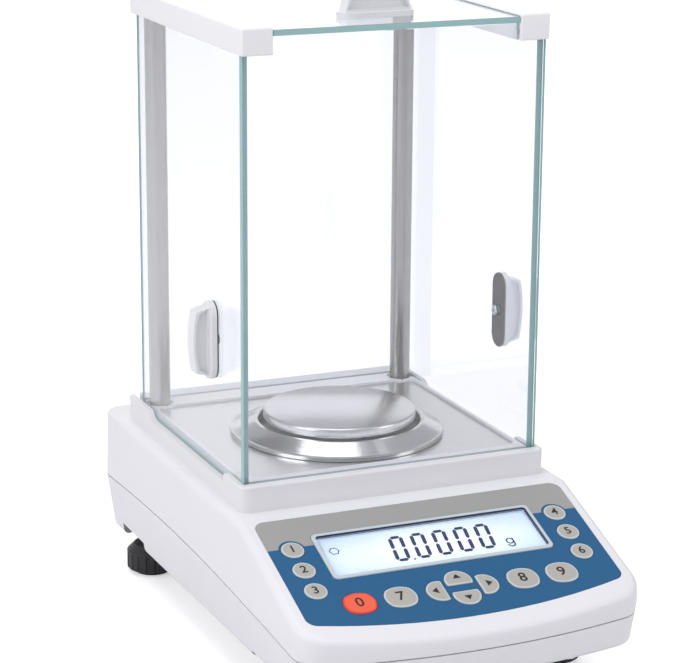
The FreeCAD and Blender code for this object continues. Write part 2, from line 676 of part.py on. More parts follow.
screw_solids = []
for i, (x, y) in enumerate(SCREWS):
    foot = underside(y)
    head = rod(f"shell_screw_head_{i}", "shell_screw_head", x, y, (f"{foot} + 1.4", f"{foot} + 4"))
    shank = rod(f"shell_screw_shank_{i}", "shell_screw", x, y, (f"{foot} + 4", "SEAM + 8"))
    drive = box(f"shell_screw_drive_{i}", (f"{x} - 2.4", f"{x} + 2.4"), (f"{y} - 0.4", f"{y} + 0.4"),
                (foot, f"{foot} + 2.4"))
    cross = box(f"shell_screw_cross_{i}", (f"{x} - 0.4", f"{x} + 0.4"), (f"{y} - 2.4", f"{y} + 2.4"),
                (foot, f"{foot} + 2.4"))
    screw_solids.append(cut(f"shell_screw_{i}", join(f"shell_screw_blank_{i}", head, shank), drive, cross))
node(group("housing_screws", screw_solids), "housing_screws")
node(group("foot_bushes", [
    cut(f"bush_{name}",
        rod(f"bush_body_{name}", "stud_radius + bush_wall", x, y, (well_top, f"{well_top} + bush_length")),
        rod(f"bush_bore_{name}", "stud_radius + stud_fit", x, y,
            (f"{well_top} - 1", f"{well_top} + bush_length + 1")))
    for name, x, y in FEET]), "foot_bushes")

# ---- levelling feet -------------------------------------------------------------------------
for name, x, y in FEET:
    wheel_low = "(pad_thick + 0.2)"
    knurled = "(pad_thick + 0.2 + wheel_thick)"
    shoulder = f"({knurled} + cone_height)"
    stud_top = f"({well_top} + bush_length + 4)"
    pin_top = f"({wheel_low} + 6)"
    blank = turned(f"wheel_blank_{name}", [
        ("pin_radius + stud_fit", wheel_low), ("wheel_radius - 0.8", wheel_low),
        ("wheel_radius", f"{wheel_low} + 0.8"),
        ("wheel_radius", f"{knurled} - 0.6"), ("wheel_radius - 0.6", knurled),
        ("wheel_radius * 0.72", f"{shoulder} - 1"),
        ("stud_radius + 2.5", shoulder), ("stud_radius + 2.5", f"{well_top} - rest_gap"),
        ("stud_radius", f"{well_top} - rest_gap"), ("stud_radius", stud_top), ("0", stud_top),
        ("0", f"{pin_top} + 0.3"), ("pin_radius + stud_fit", f"{pin_top} + 0.3")], x, y)
    groove = rod(f"knurl_{name}", "knurl_radius", f"{x} + wheel_radius + 0.5", y,
                 ("pad_thick", f"{knurled} - 1.2"))
    ring = doc.addObject("Part::Feature", f"knurls_{name}")
    doc.recompute()
    centre = FreeCAD.Vector(number(x), number(y), 0)
    count = int(number("knurl_count"))
    turns = []
    for step in range(count):
        one = groove.Shape.copy()
        one.rotate(centre, FreeCAD.Vector(0, 0, 1), 360 * step / count)
        turns.append(one)
    ring.Shape = Part.makeCompound(turns)
    node(cut(f"foot_wheel_{name}", blank, ring), f"foot_wheel_{name}")
    node(turned(f"foot_pad_{name}", [
        ("0", "0"), ("pad_radius - 0.6", "0"), ("pad_radius", "0.6"), ("pad_radius", "pad_thick"),
        ("pin_radius", "pad_thick"), ("pin_radius", pin_top), ("0", pin_top)], x, y), f"foot_pad_{name}")

# ---- chamber tray ---------------------------------------------------------------------------
tray_x = both("tray_width / 2")
tray_block = slab("tray_block", "XY_Plane", rectangle(tray_x, ("TRAY_FRONT", "TRAY_REAR")), "FLAT", "RIM",
                  None, [("tray_corner", upright)])


def tray_rim(edge):
    point = middle_of(edge)
    return abs(point.z - number("RIM")) < 0.01


tray_skin = rounded("tray_skin", tray_block, "1", tray_rim)
tray_under = slab("tray_under", "XY_Plane",
                  rectangle(both("tray_width / 2 - tray_wall"),
                            ("TRAY_FRONT + tray_wall", "TRAY_REAR - tray_wall")), "FLAT - 1",
                            "DECK - tray_deck",
                  None, [("tray_corner", upright)])
tray_recess = slab("tray_recess", "XY_Plane",
                   rectangle(both("floor_half + slide_gap"),
                             ("pan_offset - floor_ahead - slide_gap",
                              "pan_offset + floor_behind + slide_gap")),
                   "DECK", "RIM + 1", None, [("floor_corner", upright)])
front_groove = box("front_groove", both("front_width / 2 + slide_gap"),
                   ("GLASS_FRONT - slide_gap", "GLASS_FRONT + fixed_glass + slide_gap"),
                   ("SILL - slide_gap", "RIM + 1"))
rear_groove = box("rear_groove", both("DOOR_IN"),
                  ("GLASS_REAR - slide_gap", "GLASS_REAR + fixed_glass + slide_gap"),
                  ("SILL - slide_gap", "RIM + 1"))
door_grooves = [box(f"door_groove_{side}", span(side, "DOOR_IN - slide_gap", "DOOR_OUT + slide_gap"),
                    ("GLASS_FRONT + fixed_glass", "TRAY_REAR + 1"), ("SILL - slide_gap", "RIM + 1"))
                for side in (-1, 1)]
low_walls = [slab(f"low_wall_{side}", "YZ_Plane", [
    ("TRAY_FRONT + 28", "SILL"), ("TRAY_REAR - 44", "SILL"), ("TRAY_REAR - 40", "SILL + 1"),
    ("TRAY_REAR - 34", "RIM + 1"), ("TRAY_FRONT + 27", "RIM + 1")],
    *span(side, "DOOR_OUT", "tray_width / 2 + 1")) for side in (-1, 1)]
floor_relief = rod("floor_relief", "collar_radius", "0", "pan_offset", ("FLAT - 1", "RIM + 1"))
post_bosses = [rod(f"post_boss_{side}", "boss_radius", at(side, "post_across"), "POST_Y",
                   ("DECK - 1", "DECK + boss_rise")) for side in (-1, 1)]
post_clear = [rod(f"post_clear_{side}", "post_radius + 1.5", at(side, "post_across"), "POST_Y",
                  ("DECK + boss_rise", "RIM + 1")) for side in (-1, 1)]
collar = cut("collar", rod("collar_out", "collar_radius + collar_wall", "0", "pan_offset",
                           ("DECK - 1", "DECK + collar_rise")),
             rod("collar_in", "collar_radius", "0", "pan_offset", ("DECK - 2", "DECK + collar_rise + 1")))
tray_cut = cut("tray_cut", tray_skin, tray_under, tray_recess, front_groove, floor_relief, *post_clear)
tray_solid = join("tray_solid", tray_cut, collar, *post_bosses)
node(cut("chamber_tray", tray_solid, rear_groove, *door_grooves, *low_walls), "chamber_tray")

# ---- posts, rails and glass -----------------------------------------------------------------
node(group("corner_posts", [rod(f"post_{side}", "post_radius", at(side, "post_across"), "POST_Y",
                                ("DECK + boss_rise", "RAIL_LOW")) for side in (-1, 1)]), "corner_posts")
rail_y = ("pan_offset - rail_ahead", "pan_offset + rail_behind")
for side, word in ((-1, "left"), (1, "right")):
    bar = box(f"{word}_rail_bar", span(side, "RAIL_IN", "rail_span / 2"), rail_y, ("RAIL_LOW", "RAIL_TOP"))

    def shows(edge, side=side):
        """Every edge of the bar but the lower inner one."""
        point = middle_of(edge)
        inner = abs(abs(point.x) - number("RAIL_IN")) < 0.01
        return not (inner and abs(point.z - number("RAIL_LOW")) < 0.01)

    door_slot = box(f"{word}_door_slot", span(side, "DOOR_IN - slide_gap", "DOOR_OUT + slide_gap"),
                    ("GLASS_FRONT + fixed_glass", "pan_offset + rail_behind + 1"),
                    ("RAIL_LOW - 1", "RAIL_LOW + rail_socket + 1"))
    pane_slot = box(f"{word}_pane_slot", span(side, "RAIL_IN - 1", "front_width / 2 + slide_gap"),
                    ("GLASS_FRONT - slide_gap", "GLASS_FRONT + fixed_glass + slide_gap"),
                    ("RAIL_LOW - 1", "RAIL_LOW + rail_socket + slide_gap"))
    top_slot = box(f"{word}_top_slot", span(side, "RAIL_IN - 1", "RAIL_IN + top_glass_hold + slide_gap"),
                   ("GLASS_FRONT", "pan_offset + rail_behind + 1"),
                   ("TOP_DOOR - top_glass_thick - slide_gap", "TOP_DOOR + slide_gap"))
    node(cut(f"{word}_rail", rounded(f"{word}_rail_skin", bar, "rail_round", shows),
             door_slot, pane_slot, top_slot), f"{word}_rail")

rear_bar_y = ("GLASS_REAR - 3", "pan_offset + rail_behind")
bar_block = box("rear_bar_block", both("RAIL_IN"), rear_bar_y,
                ("RAIL_LOW", "TOP_DOOR - top_glass_thick - slide_gap"))
bar_slot = box("rear_bar_slot", both("RAIL_IN + 1"),
               ("GLASS_REAR - slide_gap", "GLASS_REAR + fixed_glass + slide_gap"),
               ("RAIL_LOW - 1", "RAIL_LOW + rail_socket"))
node(cut("rear_bar", bar_block, bar_slot), "rear_bar")


def pane(name, half, shoulder, top, y, low="SILL"):
    """Fixed glass whose middle stands up between the rails."""
    tongue = "(RAIL_IN - slide_gap)"
    corners = [(f"-({half})", low), (half, low), (half, shoulder), (tongue, shoulder), (tongue, top),
               (f"-{tongue}", top), (f"-{tongue}", shoulder), (f"-({half})", shoulder)]
    return slab(name, "XZ_Plane", corners, f"-({y} + fixed_glass)", f"-({y})")


node(pane("front_glass", "front_width / 2", "RAIL_LOW + rail_socket",
          "TOP_DOOR - top_glass_thick - slide_gap", "GLASS_FRONT"), "front_glass")
node(pane("rear_glass", "DOOR_IN - slide_gap", "RAIL_LOW - slide_gap", "RAIL_LOW + rail_socket - slide_gap",
          "GLASS_REAR"), "rear_glass")

door_y = ("GLASS_FRONT + fixed_glass + slide_gap", "GLASS_REAR + slide_gap")
handle_z = "(RIM + handle_up)"
handle_y = "(pan_offset - handle_ahead)"


def stadium(name, length, width, low, high):
    corners = rectangle(both(f"({length}) / 2"), both(f"({width}) / 2"))
    return slab(name, "XY_Plane", corners, low, high, None, [(f"0.495 * ({width})", upright)])


def handle(name):
    """A door handle on its foot, standing along +Z with its length along X."""
    foot = stadium(name + "_foot", "handle_length", "handle_width", "0", "handle_foot")

    def grip(label, trim, low, high):
        base = f"handle_length / 2 - 2 - {trim}"
        tip = f"handle_length / 2 - 4.5 - {trim}"
        crest = f"handle_reach - handle_bulge - {trim}"
        bottom = f"handle_foot - 1 + {trim} * 1.4"
        corners = [(f"-({base})", bottom), (base, bottom), (tip, crest), (f"-({tip})", crest)]
        return slab(label, "XZ_Plane", corners, low, high, {2: bow_radius(tip, "handle_bulge")})

    fin = grip(name + "_fin", "0", "-handle_grip / 2", "handle_grip / 2")
    soft = rounded(name + "_soft", join(name + "_blank", foot, fin), "0.8",
                   lambda edge: middle_of(edge).z > number("handle_foot") + 0.4 and len(edge.Vertexes) == 2
                   and abs(abs(middle_of(edge).y) - number("handle_grip") / 2) < 0.05)
    front_dish = grip(name + "_front_dish", "handle_rim", "-handle_grip", "handle_dish - handle_grip / 2")
    rear_dish = grip(name + "_rear_dish", "handle_rim", "handle_grip / 2 - handle_dish", "handle_grip")
    pilot = rod(name + "_pilot", "screw_radius + stud_fit", "0", "0", ("-1", "screw_bite + 0.5"))
    return cut(name, soft, front_dish, rear_dish, pilot)


def pad(name):
    """The rubber pad between a handle's foot and the glass, with its hole."""
    sheet = stadium(name + "_sheet", "handle_length - 0.4", "handle_width - 0.4", "-pad_sheet", "0")
    return cut(name, sheet, rod(name + "_hole", "screw_radius + 0.3", "0", "0", ("-2", "1")))


def screw(name):
    """A cross-head screw through glass and pad into the handle."""
    shank_low = "-(pad_sheet + door_glass)"
    head = rod(name + "_head", "screw_head", "0", "0", (f"{shank_low} - screw_head_thick", shank_low))
    crown = rounded(name + "_crown", head, "0.9",
                    lambda edge: abs(middle_of(edge).z - number(f"{shank_low} - screw_head_thick")) < 0.01)
    shank = rod(name + "_shank", "screw_radius", "0", "0", (shank_low, "screw_bite"))
    arms = [box(f"{name}_arm_{i}", both(x), both(y),
                (f"{shank_low} - screw_head_thick - 1", f"{shank_low} - 0.8"))
            for i, (x, y) in enumerate((("1.8", "0.35"), ("0.35", "1.8")))]
    return cut(name, join(name + "_blank", crown, shank), *arms)


for side, word in ((-1, "left"), (1, "right")):
    x = span(side, "DOOR_IN", "DOOR_OUT")
    sheet_glass = box(f"{word}_door_sheet", x, door_y, ("SILL", "RAIL_LOW + rail_socket + 0.5"))
    bore = axle(f"{word}_door_bore", "screw_radius + 0.6", ("DOOR_IN - 1", "DOOR_OUT + 1") if side > 0
                else ("-DOOR_OUT - 1", "-DOOR_IN + 1"), handle_y, handle_z, "X")
    node(cut(f"{word}_door_glass", sheet_glass, bore), f"{word}_door_glass")
    for maker, label in ((handle, "handle"), (pad, "handle_pad"), (screw, "handle_screw")):
        piece = maker(f"{word}_{label}")
        piece.Placement.Rotation = FreeCAD.Rotation(FreeCAD.Vector(0, 1, 0), 90 * side)
        place(piece, at(side, "DOOR_OUT + pad_sheet"), handle_y, handle_z)
        node(piece, f"{word}_{label}")

top_in = "(RAIL_IN + top_glass_hold)"
top_mid = "(RAIL_IN - slide_gap)"
top_front = "(pan_offset - rail_ahead + 0.6)"
top_step = "(GLASS_FRONT + slide_gap)"
top_rear = "(pan_offset + rail_behind)"
node(slab("top_glass", "XY_Plane", [
    (f"-{top_mid}", top_front), (top_mid, top_front), (top_mid, top_step), (top_in, top_step),
    (top_in, top_rear), (f"-{top_in}", top_rear), (f"-{top_in}", top_step), (f"-{top_mid}", top_step)],
    "TOP_DOOR - top_glass_thick", "TOP_DOOR"), "top_glass")
node(place(handle("top_handle"), "0", "pan_offset - top_handle_ahead", "TOP_DOOR"), "top_handle")

# ---- floor plate, draft ring and pan --------------------------------------------------------
floor_top = "(RIM - plate_drop)"
floor_sheet = slab("floor_sheet", "XY_Plane",
                   rectangle(both("floor_half"), ("pan_offset - floor_ahead", "pan_offset + floor_behind")),
                   f"{floor_top} - floor_thick", floor_top, None, [("floor_corner", upright)])
node(cut("floor_plate", floor_sheet,
         rod("floor_opening", "floor_hole", "0", "pan_offset", ("DECK", "RIM")),
         *[rod(f"floor_notch_{side}", "boss_radius + 0.5", at(side, "post_across"), "POST_Y", ("DECK", "RIM"))
           for side in (-1, 1)]), "floor_plate")
ring_low = f"({floor_top} + rest_gap)"
ring_top = f"({ring_low} + ring_height)"
node(turned("draft_ring", [
    ("ring_inner + 1", f"{ring_low} + ring_sheet"), ("ring_inner", f"{ring_top} - 0.6"),
    ("ring_inner + 0.6", ring_top), ("ring_inner + 2.4", ring_top),
    ("ring_outer - 1.2", f"{ring_low} + ring_lip"), ("ring_outer - 0.4", f"{ring_low} + ring_lip"),
    ("ring_outer", f"{ring_low} + ring_lip - 0.5"), ("ring_outer", ring_low),
    ("ring_outer - ring_sheet", ring_low),
    ("ring_outer - ring_sheet", f"{ring_low} + ring_lip - ring_sheet"),
    ("ring_inner + 2.4", f"{ring_top} - ring_sheet"),
    ("ring_inner + 1.3 + ring_sheet / 2", f"{ring_top} - ring_sheet"),
    ("ring_inner + 1 + ring_sheet", f"{ring_low} + ring_sheet")], "0", "pan_offset"), "draft_ring")
pan_top = "(RIM + pan_rise)"
seat = f"({pan_top} - 2.2)"
seat_low = f"({pan_top} - pan_skirt - 3)"
node(turned("weighing_pan", [
    ("0", f"{seat} + carrier_gap"), ("carrier_radius - 1 + carrier_gap", f"{seat} + carrier_gap"),
    ("carrier_radius + carrier_gap", seat_low), ("socket_radius - 1", seat_low),
    ("socket_radius", f"{pan_top} - pan_sheet"),
    ("pan_radius - pan_sheet", f"{pan_top} - pan_sheet"),
    ("pan_radius - pan_sheet", f"{pan_top} - pan_skirt"),
    ("pan_radius", f"{pan_top} - pan_skirt"), ("pan_radius", f"{pan_top} - pan_edge"),
    ("pan_radius - pan_edge * 0.3", f"{pan_top} - pan_edge * 0.3"), ("pan_radius - pan_edge", pan_top),
    ("0", pan_top)], "0", "pan_offset"), "weighing_pan")

# ---- weighing system ------------------------------------------------------------------------
stirrup = "(PIVOT + lever_tall / 2 + lever_gap)"
node(turned("load_carrier", [
    ("0", stirrup), ("carrier_radius + 3", stirrup), ("carrier_radius + 3", f"{stirrup} + 3"),
    ("carrier_radius", f"{stirrup} + 4"), ("carrier_radius", seat_low), ("carrier_radius - 1", seat),
    ("0", seat)],
    "0", "pan_offset"), "load_carrier")
cell_y = ("pan_offset - cell_ahead", "pan_offset + cell_behind")
pivot_y = "(pan_offset + pivot_behind)"
coil_y = "(pan_offset + coil_behind)"
cell_base = box("cell_base", both("cell_half"), cell_y, ("CELL", "CELL + cell_base"))
cheeks = [box(f"cell_cheek_{side}", span(side, "lever_half + 2", "lever_half + 9"),
              (f"{pivot_y} - 7", f"{pivot_y} + 7"), ("CELL + cell_base - 1", "PIVOT + 7")) for side in (-1,
                  1)]
cell_wall = [box(f"cell_wall_{side}", span(side, "cell_half - 6", "cell_half"), cell_y,
                 ("CELL + cell_base - 1", "CELL + cell_tall - 10")) for side in (-1, 1)]
cell_rear = box("cell_rear", both("cell_half"), ("pan_offset + cell_behind - 6", "pan_offset + cell_behind"),
                ("CELL + cell_base - 1", "CELL + cell_tall"))
pivot_bore = axle("pivot_bore", "pivot_radius + stud_fit", both("lever_half + 10"), pivot_y, "PIVOT", "X")
node(cut("cell_frame", join("cell_solid", cell_base, cell_rear, *cheeks, *cell_wall), pivot_bore),
     "cell_frame")
lever_bar = box("lever_bar", both("lever_half"), ("pan_offset - 8", f"{coil_y} + 5"),
                ("PIVOT - lever_tall / 2", "PIVOT + lever_tall / 2"))
pivot_pin = axle("pivot_pin", "pivot_radius", both("lever_half + 8"), pivot_y, "PIVOT", "X")
coil_low = "(CELL + cell_base + 9)"
coil = cut("coil", rod("coil_out", "coil_radius", "0", coil_y, (coil_low, "PIVOT - lever_tall / 2")),
           rod("coil_in", "coil_radius - coil_wall", "0", coil_y,
               (f"{coil_low} - 1", "PIVOT - lever_tall / 2 - 1.5")))
node(join("lever_beam", lever_bar, pivot_pin, coil), "lever_beam")
pot_top = "(CELL + cell_base + 16)"
pot_low = "CELL + cell_base"
pot_blank = rod("pot_blank", "coil_radius + magnet_gap + magnet_wall", "0", coil_y, (pot_low, pot_top))
pot_gap = cut("pot_gap", rod("pot_gap_out", "coil_radius + magnet_gap", "0", coil_y,
                             (f"{pot_low} + 5", f"{pot_top} + 1")),
              rod("pot_core", "coil_radius - coil_wall - magnet_gap", "0", coil_y,
                  (pot_low, f"{pot_top} + 2")))
node(cut("magnet_pot", pot_blank, pot_gap), "magnet_pot")
plate_blank = box("chassis_blank", both("chassis_half"), ("-chassis_front", "chassis_rear"),
                  ("CHASSIS", "CELL"))
board_y = ("10 - chassis_front", "87 - chassis_front")
board_posts = [rod(f"board_post_{i}", "3", at(side, "38"), y, ("CELL - 1", "CELL + 4"))
               for i, (side, y) in enumerate((side, y) for side in (-1, 1)
                                             for y in (f"{board_y[0]} + 6", f"{board_y[1]} - 6"))]
node(join("chassis_plate", plate_blank, *board_posts), "chassis_plate")
board = box("board_sheet", both("45"), board_y, ("CELL + 4", "CELL + 4 + board_thick"))
chip_low = "CELL + 4 + board_thick"
CHIPS = (("-34", "13", "22", "22", "3"), ("6", "15", "14", "9", "2"), ("26", "17", "12", "26", "12"),
         ("-30", "49", "40", "8", "6"), ("20", "51", "10", "10", "9"))
chips = [box(f"chip_{i}", (x, f"{x} + {wide}"), (f"{board_y[0]} + {y}", f"{board_y[0]} + {y} + {deep}"),
             (f"{chip_low} - 0.2", f"{chip_low} + {tall}"))
         for i, (x, y, wide, deep, tall) in enumerate(CHIPS)]
node(join("main_board", board, *chips), "main_board")

# ---- keyboard and display -------------------------------------------------------------------
film = film_form("film", "-overlay_thick", "0", "0")
film_screen = screen_form("film_screen", "-2", "2", "bezel_wall + fit_gap", "bezel_corner")
node(on_slope(cut("keypad_overlay", film, film_screen, *key_holes("film_hole", "-2", "2"))), "keypad_overlay")
bezel_low = "(-shell_wall - fit_gap)"
bezel_body = screen_form("bezel_body", f"{bezel_low} - 1", "bezel_rise", "bezel_wall", "bezel_corner")
bezel_soft = rounded("bezel_soft", bezel_body, "0.5",
                     lambda edge: abs(middle_of(edge).z - number("bezel_rise")) < 0.01)
bezel_foot = screen_form("bezel_foot", f"{bezel_low} - 1", bezel_low, "bezel_wall + bezel_flange",
                         "bezel_corner")
bezel_hole = screen_form("bezel_hole", "-9", "3", "0", "bezel_corner - 1")
node(on_slope(cut("display_bezel", join("bezel_blank", bezel_soft, bezel_foot), bezel_hole)), "display_bezel")
node(on_slope(screen_form("display_window", "-window_drop - window_thick", "-window_drop", "-fit_gap",
                          "bezel_corner - 1 - fit_gap")), "display_window")
node(on_slope(screen_form("lcd_module", "-board_drop", "-window_drop - window_thick", "-0.6", "1")),
     "lcd_module")
sheet = box("display_sheet", both("overlay_half - 4"), ("-overlay_side", "-overlay_top - 8"),
            ("-board_drop - board_thick", "-board_drop"))
domes = [rod(f"dome_{name}", "2.5", across, down, ("-board_drop - 0.1", "-board_drop + 0.2"))
         for name, kind, across, down, turn in KEYS]
node(on_slope(join("display_board", sheet, *domes)), "display_board")
for name, kind, across, down, turn in KEYS:
    low = "(-board_drop + key_travel + 0.5)"
    cap = key_form(name + "_cap", kind, low, "key_rise", "0")
    crisp = rounded(name + "_crisp", cap, "key_edge",
                    lambda edge: abs(middle_of(edge).z - number("key_rise")) < 0.01, "Part::Chamfer")
    lip = key_form(name + "_lip", kind, low, f"{low} + 0.8", "key_flange")
    flat_key = set_key(join(name + "_flat", crisp, lip), across, down, turn)
    node(on_slope(group(name, [flat_key])), name)

# ---- rear connectors and level --------------------------------------------------------------
serial_z = "(SEAM + connector_up)"
serial_face = "(REAR - shell_wall - 2)"
flange = box("serial_flange", ("serial_across - 20", "serial_across + 20"),
             (f"{serial_face} - 1.2", serial_face),
             (f"{serial_z} - 10", f"{serial_z} + 10"))
serial_back = box("serial_back", ("serial_across - 12", "serial_across + 12"),
                  (f"{serial_face} - 9", f"{serial_face} - 1"),
                  (f"{serial_z} - 5.5", f"{serial_z} + 5.5"))
shell_d = slab("serial_shell", "XZ_Plane", [
    ("serial_across - 7.3", f"{serial_z} - 4.1"), ("serial_across + 7.3", f"{serial_z} - 4.1"),
    ("serial_across + 8.4", f"{serial_z} + 4.1"), ("serial_across - 8.4", f"{serial_z} + 4.1")],
    f"-({serial_face} + 4.6)", f"-({serial_face} - 0.5)")
nuts = [axle(f"jack_nut_{i}", "2.4", (f"{serial_face} - 0.5", f"{serial_face} + 3.6"),
             f"serial_across + {sign} * serial_pitch / 2", serial_z, "Y") for i,
             sign in enumerate(("-1", "1"))]
jack_bores = [axle(f"jack_bore_{i}", "1.42", (f"{serial_face} - 10", f"{serial_face} + 5"),
                   f"serial_across + {sign} * serial_pitch / 2", serial_z, "Y") for i,
                   sign in enumerate(("-1", "1"))]
contacts = [axle(f"contact_{i}", "0.55", (f"{serial_face} + 0.6", f"{serial_face} + 6"),
                 f"serial_across + {2.77 * (i - 2) if i < 5 else 2.77 * (i - 6.5)}",
                 f"{serial_z} + {1.42 if i < 5 else -1.42}", "Y") for i in range(9)]
node(cut("serial_port", join("serial_blank", flange, serial_back, shell_d, *nuts), *jack_bores, *contacts),
     "serial_port")
jack_body = box("jack_body", ("-power_across - 7", "-power_across + 7"), ("BACK - 12", "BACK"),
                (f"{serial_z} - 6", f"{serial_z} + 6"))
jack_nose = axle("jack_nose", "4.3", ("BACK - 1", "REAR - 0.8"), "-power_across", serial_z, "Y")
jack_hole = cut("jack_hole", axle("jack_hole_out", "2.8", ("BACK - 8", "REAR + 1"), "-power_across",
                                  serial_z, "Y"),
                axle("jack_pin", "1", ("BACK - 9", "REAR - 2"), "-power_across", serial_z, "Y"))
node(cut("power_socket", join("jack_blank", jack_body, jack_nose), jack_hole), "power_socket")
node(turned("level_vial", [
    ("0", "FLAT - 7"), ("vial_radius", "FLAT - 7"), ("vial_radius", "FLAT + 0.2"),
    ("vial_radius - 1.4", "FLAT + 0.8"), ("vial_radius * 0.5", "FLAT + 1"), ("0", "FLAT + 1.1")],
    "0", "REAR - vial_inset"), "level_vial")

# ---- check and write ------------------------------------------------------------------------
doc.recompute()
for item in doc.Objects:
    if {"Invalid", "Error"} & set(item.State):
        raise RuntimeError(f"{item.Name} failed: {item.State}")
for item in NODES:
    if item.Shape.isNull() or not item.Shape.isValid():
        raise RuntimeError(f"{item.Label} has no valid shape")
os.makedirs("parts", exist_ok=True)
for item in NODES:
    item.Shape.exportStep(f"parts/{item.Label}.step")
print(len(NODES), "nodes written")
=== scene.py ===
import math

import bpy
from mathutils import Matrix, Vector


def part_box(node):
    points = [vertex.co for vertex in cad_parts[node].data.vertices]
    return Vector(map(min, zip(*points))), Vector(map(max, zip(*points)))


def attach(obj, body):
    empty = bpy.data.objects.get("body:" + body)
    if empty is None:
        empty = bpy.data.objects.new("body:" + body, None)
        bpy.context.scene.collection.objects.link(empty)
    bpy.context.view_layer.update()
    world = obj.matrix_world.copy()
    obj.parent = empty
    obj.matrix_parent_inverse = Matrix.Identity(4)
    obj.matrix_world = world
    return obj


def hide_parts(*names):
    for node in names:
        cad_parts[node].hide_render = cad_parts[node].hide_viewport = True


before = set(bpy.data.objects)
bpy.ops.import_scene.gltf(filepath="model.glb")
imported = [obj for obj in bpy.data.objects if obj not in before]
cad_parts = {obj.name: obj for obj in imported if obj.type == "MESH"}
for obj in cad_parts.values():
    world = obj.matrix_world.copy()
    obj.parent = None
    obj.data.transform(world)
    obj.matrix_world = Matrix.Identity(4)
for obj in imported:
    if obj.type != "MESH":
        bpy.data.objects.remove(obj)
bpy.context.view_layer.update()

# The studio: a pale floor that runs past the view on every side, an even pale sky and soft lamps.
# The camera stands to the left of the balance and looks slightly down on it.
scene = bpy.context.scene
scene.view_settings.view_transform = "Standard"


def seen(red, green, blue, alpha=1.0):
    """A colour given in 0-255 steps as the eye sees it."""
    linear = [c / 3294.6 if c <= 10.3 else ((c / 255 + 0.055) / 1.055) ** 2.4 for c in (red, green, blue)]
    return (*linear, alpha)


def principled(name, colour, roughness, **inputs):
    """A material with one Principled shader; inputs name its sockets with _ for a space."""
    material = bpy.data.materials.new(name)
    material.use_nodes = True
    shader = material.node_tree.nodes["Principled BSDF"]
    shader.inputs["Base Color"].default_value = colour
    shader.inputs["Roughness"].default_value = roughness
    for socket, value in inputs.items():
        shader.inputs[socket.replace("_", " ")].default_value = value
    material.diffuse_color = colour
    return material, material.node_tree.nodes, material.node_tree.links, shader


def studio_camera(place, yaw, pitch, roll, lens):
    ahead = Vector((math.sin(yaw) * math.cos(pitch), math.cos(yaw) * math.cos(pitch), -math.sin(pitch)))
    level = Vector((math.cos(yaw), -math.sin(yaw), 0))
    above = level.cross(ahead)
    side = level * math.cos(roll) + above * math.sin(roll)
    top = above * math.cos(roll) - level * math.sin(roll)
    bpy.ops.object.camera_add(location=place)
    camera = bpy.context.object
    camera.name = "studio_camera"
    camera.data.lens = lens
    camera.data.sensor_width = 36
    turn = Matrix((side, top, -ahead)).transposed().to_4x4()
    camera.matrix_world = Matrix.Translation(place) @ turn
    scene.camera = camera


studio_camera(Vector((-0.5101, -1.1530, 0.5129)), math.radians(23.604), math.radians(15.210),
              math.radians(0.419), 123.9)

bpy.ops.mesh.primitive_plane_add(size=16)
floor = bpy.context.object
floor.name = "studio_floor"
material, nodes, links, shader = principled("studio_floor_paint", seen(228, 228, 230), 0.9)
shader.inputs["Specular IOR Level"].default_value = 0.1
path = nodes.new("ShaderNodeLightPath")
clear_rays = nodes.new("ShaderNodeMath")
clear_rays.operation = "MAXIMUM"
links.new(path.outputs["Is Camera Ray"], clear_rays.inputs[0])
links.new(path.outputs["Is Transmission Ray"], clear_rays.inputs[1])
lift = nodes.new("ShaderNodeMath")
lift.operation = "MULTIPLY"
lift.inputs[1].default_value = 0.5
links.new(clear_rays.outputs[0], lift.inputs[0])
shader.inputs["Emission Color"].default_value = (1, 1, 1, 1)
links.new(lift.outputs[0], shader.inputs["Emission Strength"])
floor.data.materials.append(material)

world = bpy.data.worlds.new("studio_sky")
scene.world = world
world.use_nodes = True
world.node_tree.nodes["Background"].inputs["Color"].default_value = (1.0, 1.0, 1.02, 1)
world.node_tree.nodes["Background"].inputs["Strength"].default_value = 0.62


def lamp(name, place, aim, wide, tall, power):
    bpy.ops.object.light_add(type="AREA", location=place)
    light = bpy.context.object
    light.name = name
    light.data.shape = "RECTANGLE"
    light.data.size = wide
    light.data.size_y = tall
    light.data.energy = power
    light.rotation_euler = (Vector(aim) - Vector(place)).to_track_quat("-Z", "Y").to_euler()


lamp("softbox_above", (-0.3, 0.1, 2.2), (0, 0, 0.1), 1.8, 1.4, 17)
lamp("softbox_left", (-2.0, -0.5, 1.0), (0, 0, 0.15), 1.2, 1.2, 14)
lamp("softbox_right", (1.7, -1.3, 1.0), (0, 0, 0.1), 0.9, 1.2, 8)
lamp("softbox_behind", (0.95, 2.2, 0.85), (0, 0, 0.15), 2.0, 1.1, 4.5)
# A dark card beside the lamps, which only gloss can see, gives the steel something darker to mirror.
bpy.ops.mesh.primitive_plane_add(size=1.3, location=(1.5, 0.75, 0.7))
flag = bpy.context.object
flag.name = "studio_flag"
flag.rotation_euler = (Vector((0, 0, 0.3)) - flag.location).to_track_quat("Z", "Y").to_euler()
flag.visible_camera = False
flag.visible_diffuse = False
flag.visible_shadow = False
flag.visible_transmission = False
material, nodes, links, shader = principled("studio_flag_cloth", seen(30, 30, 32), 0.9)
flag.data.materials.append(material)

# The housing: two injection-moulded shells of light grey-white plastic that meet at a dark seam.
# Both keep the faint grain of the mould and a soft sheen.


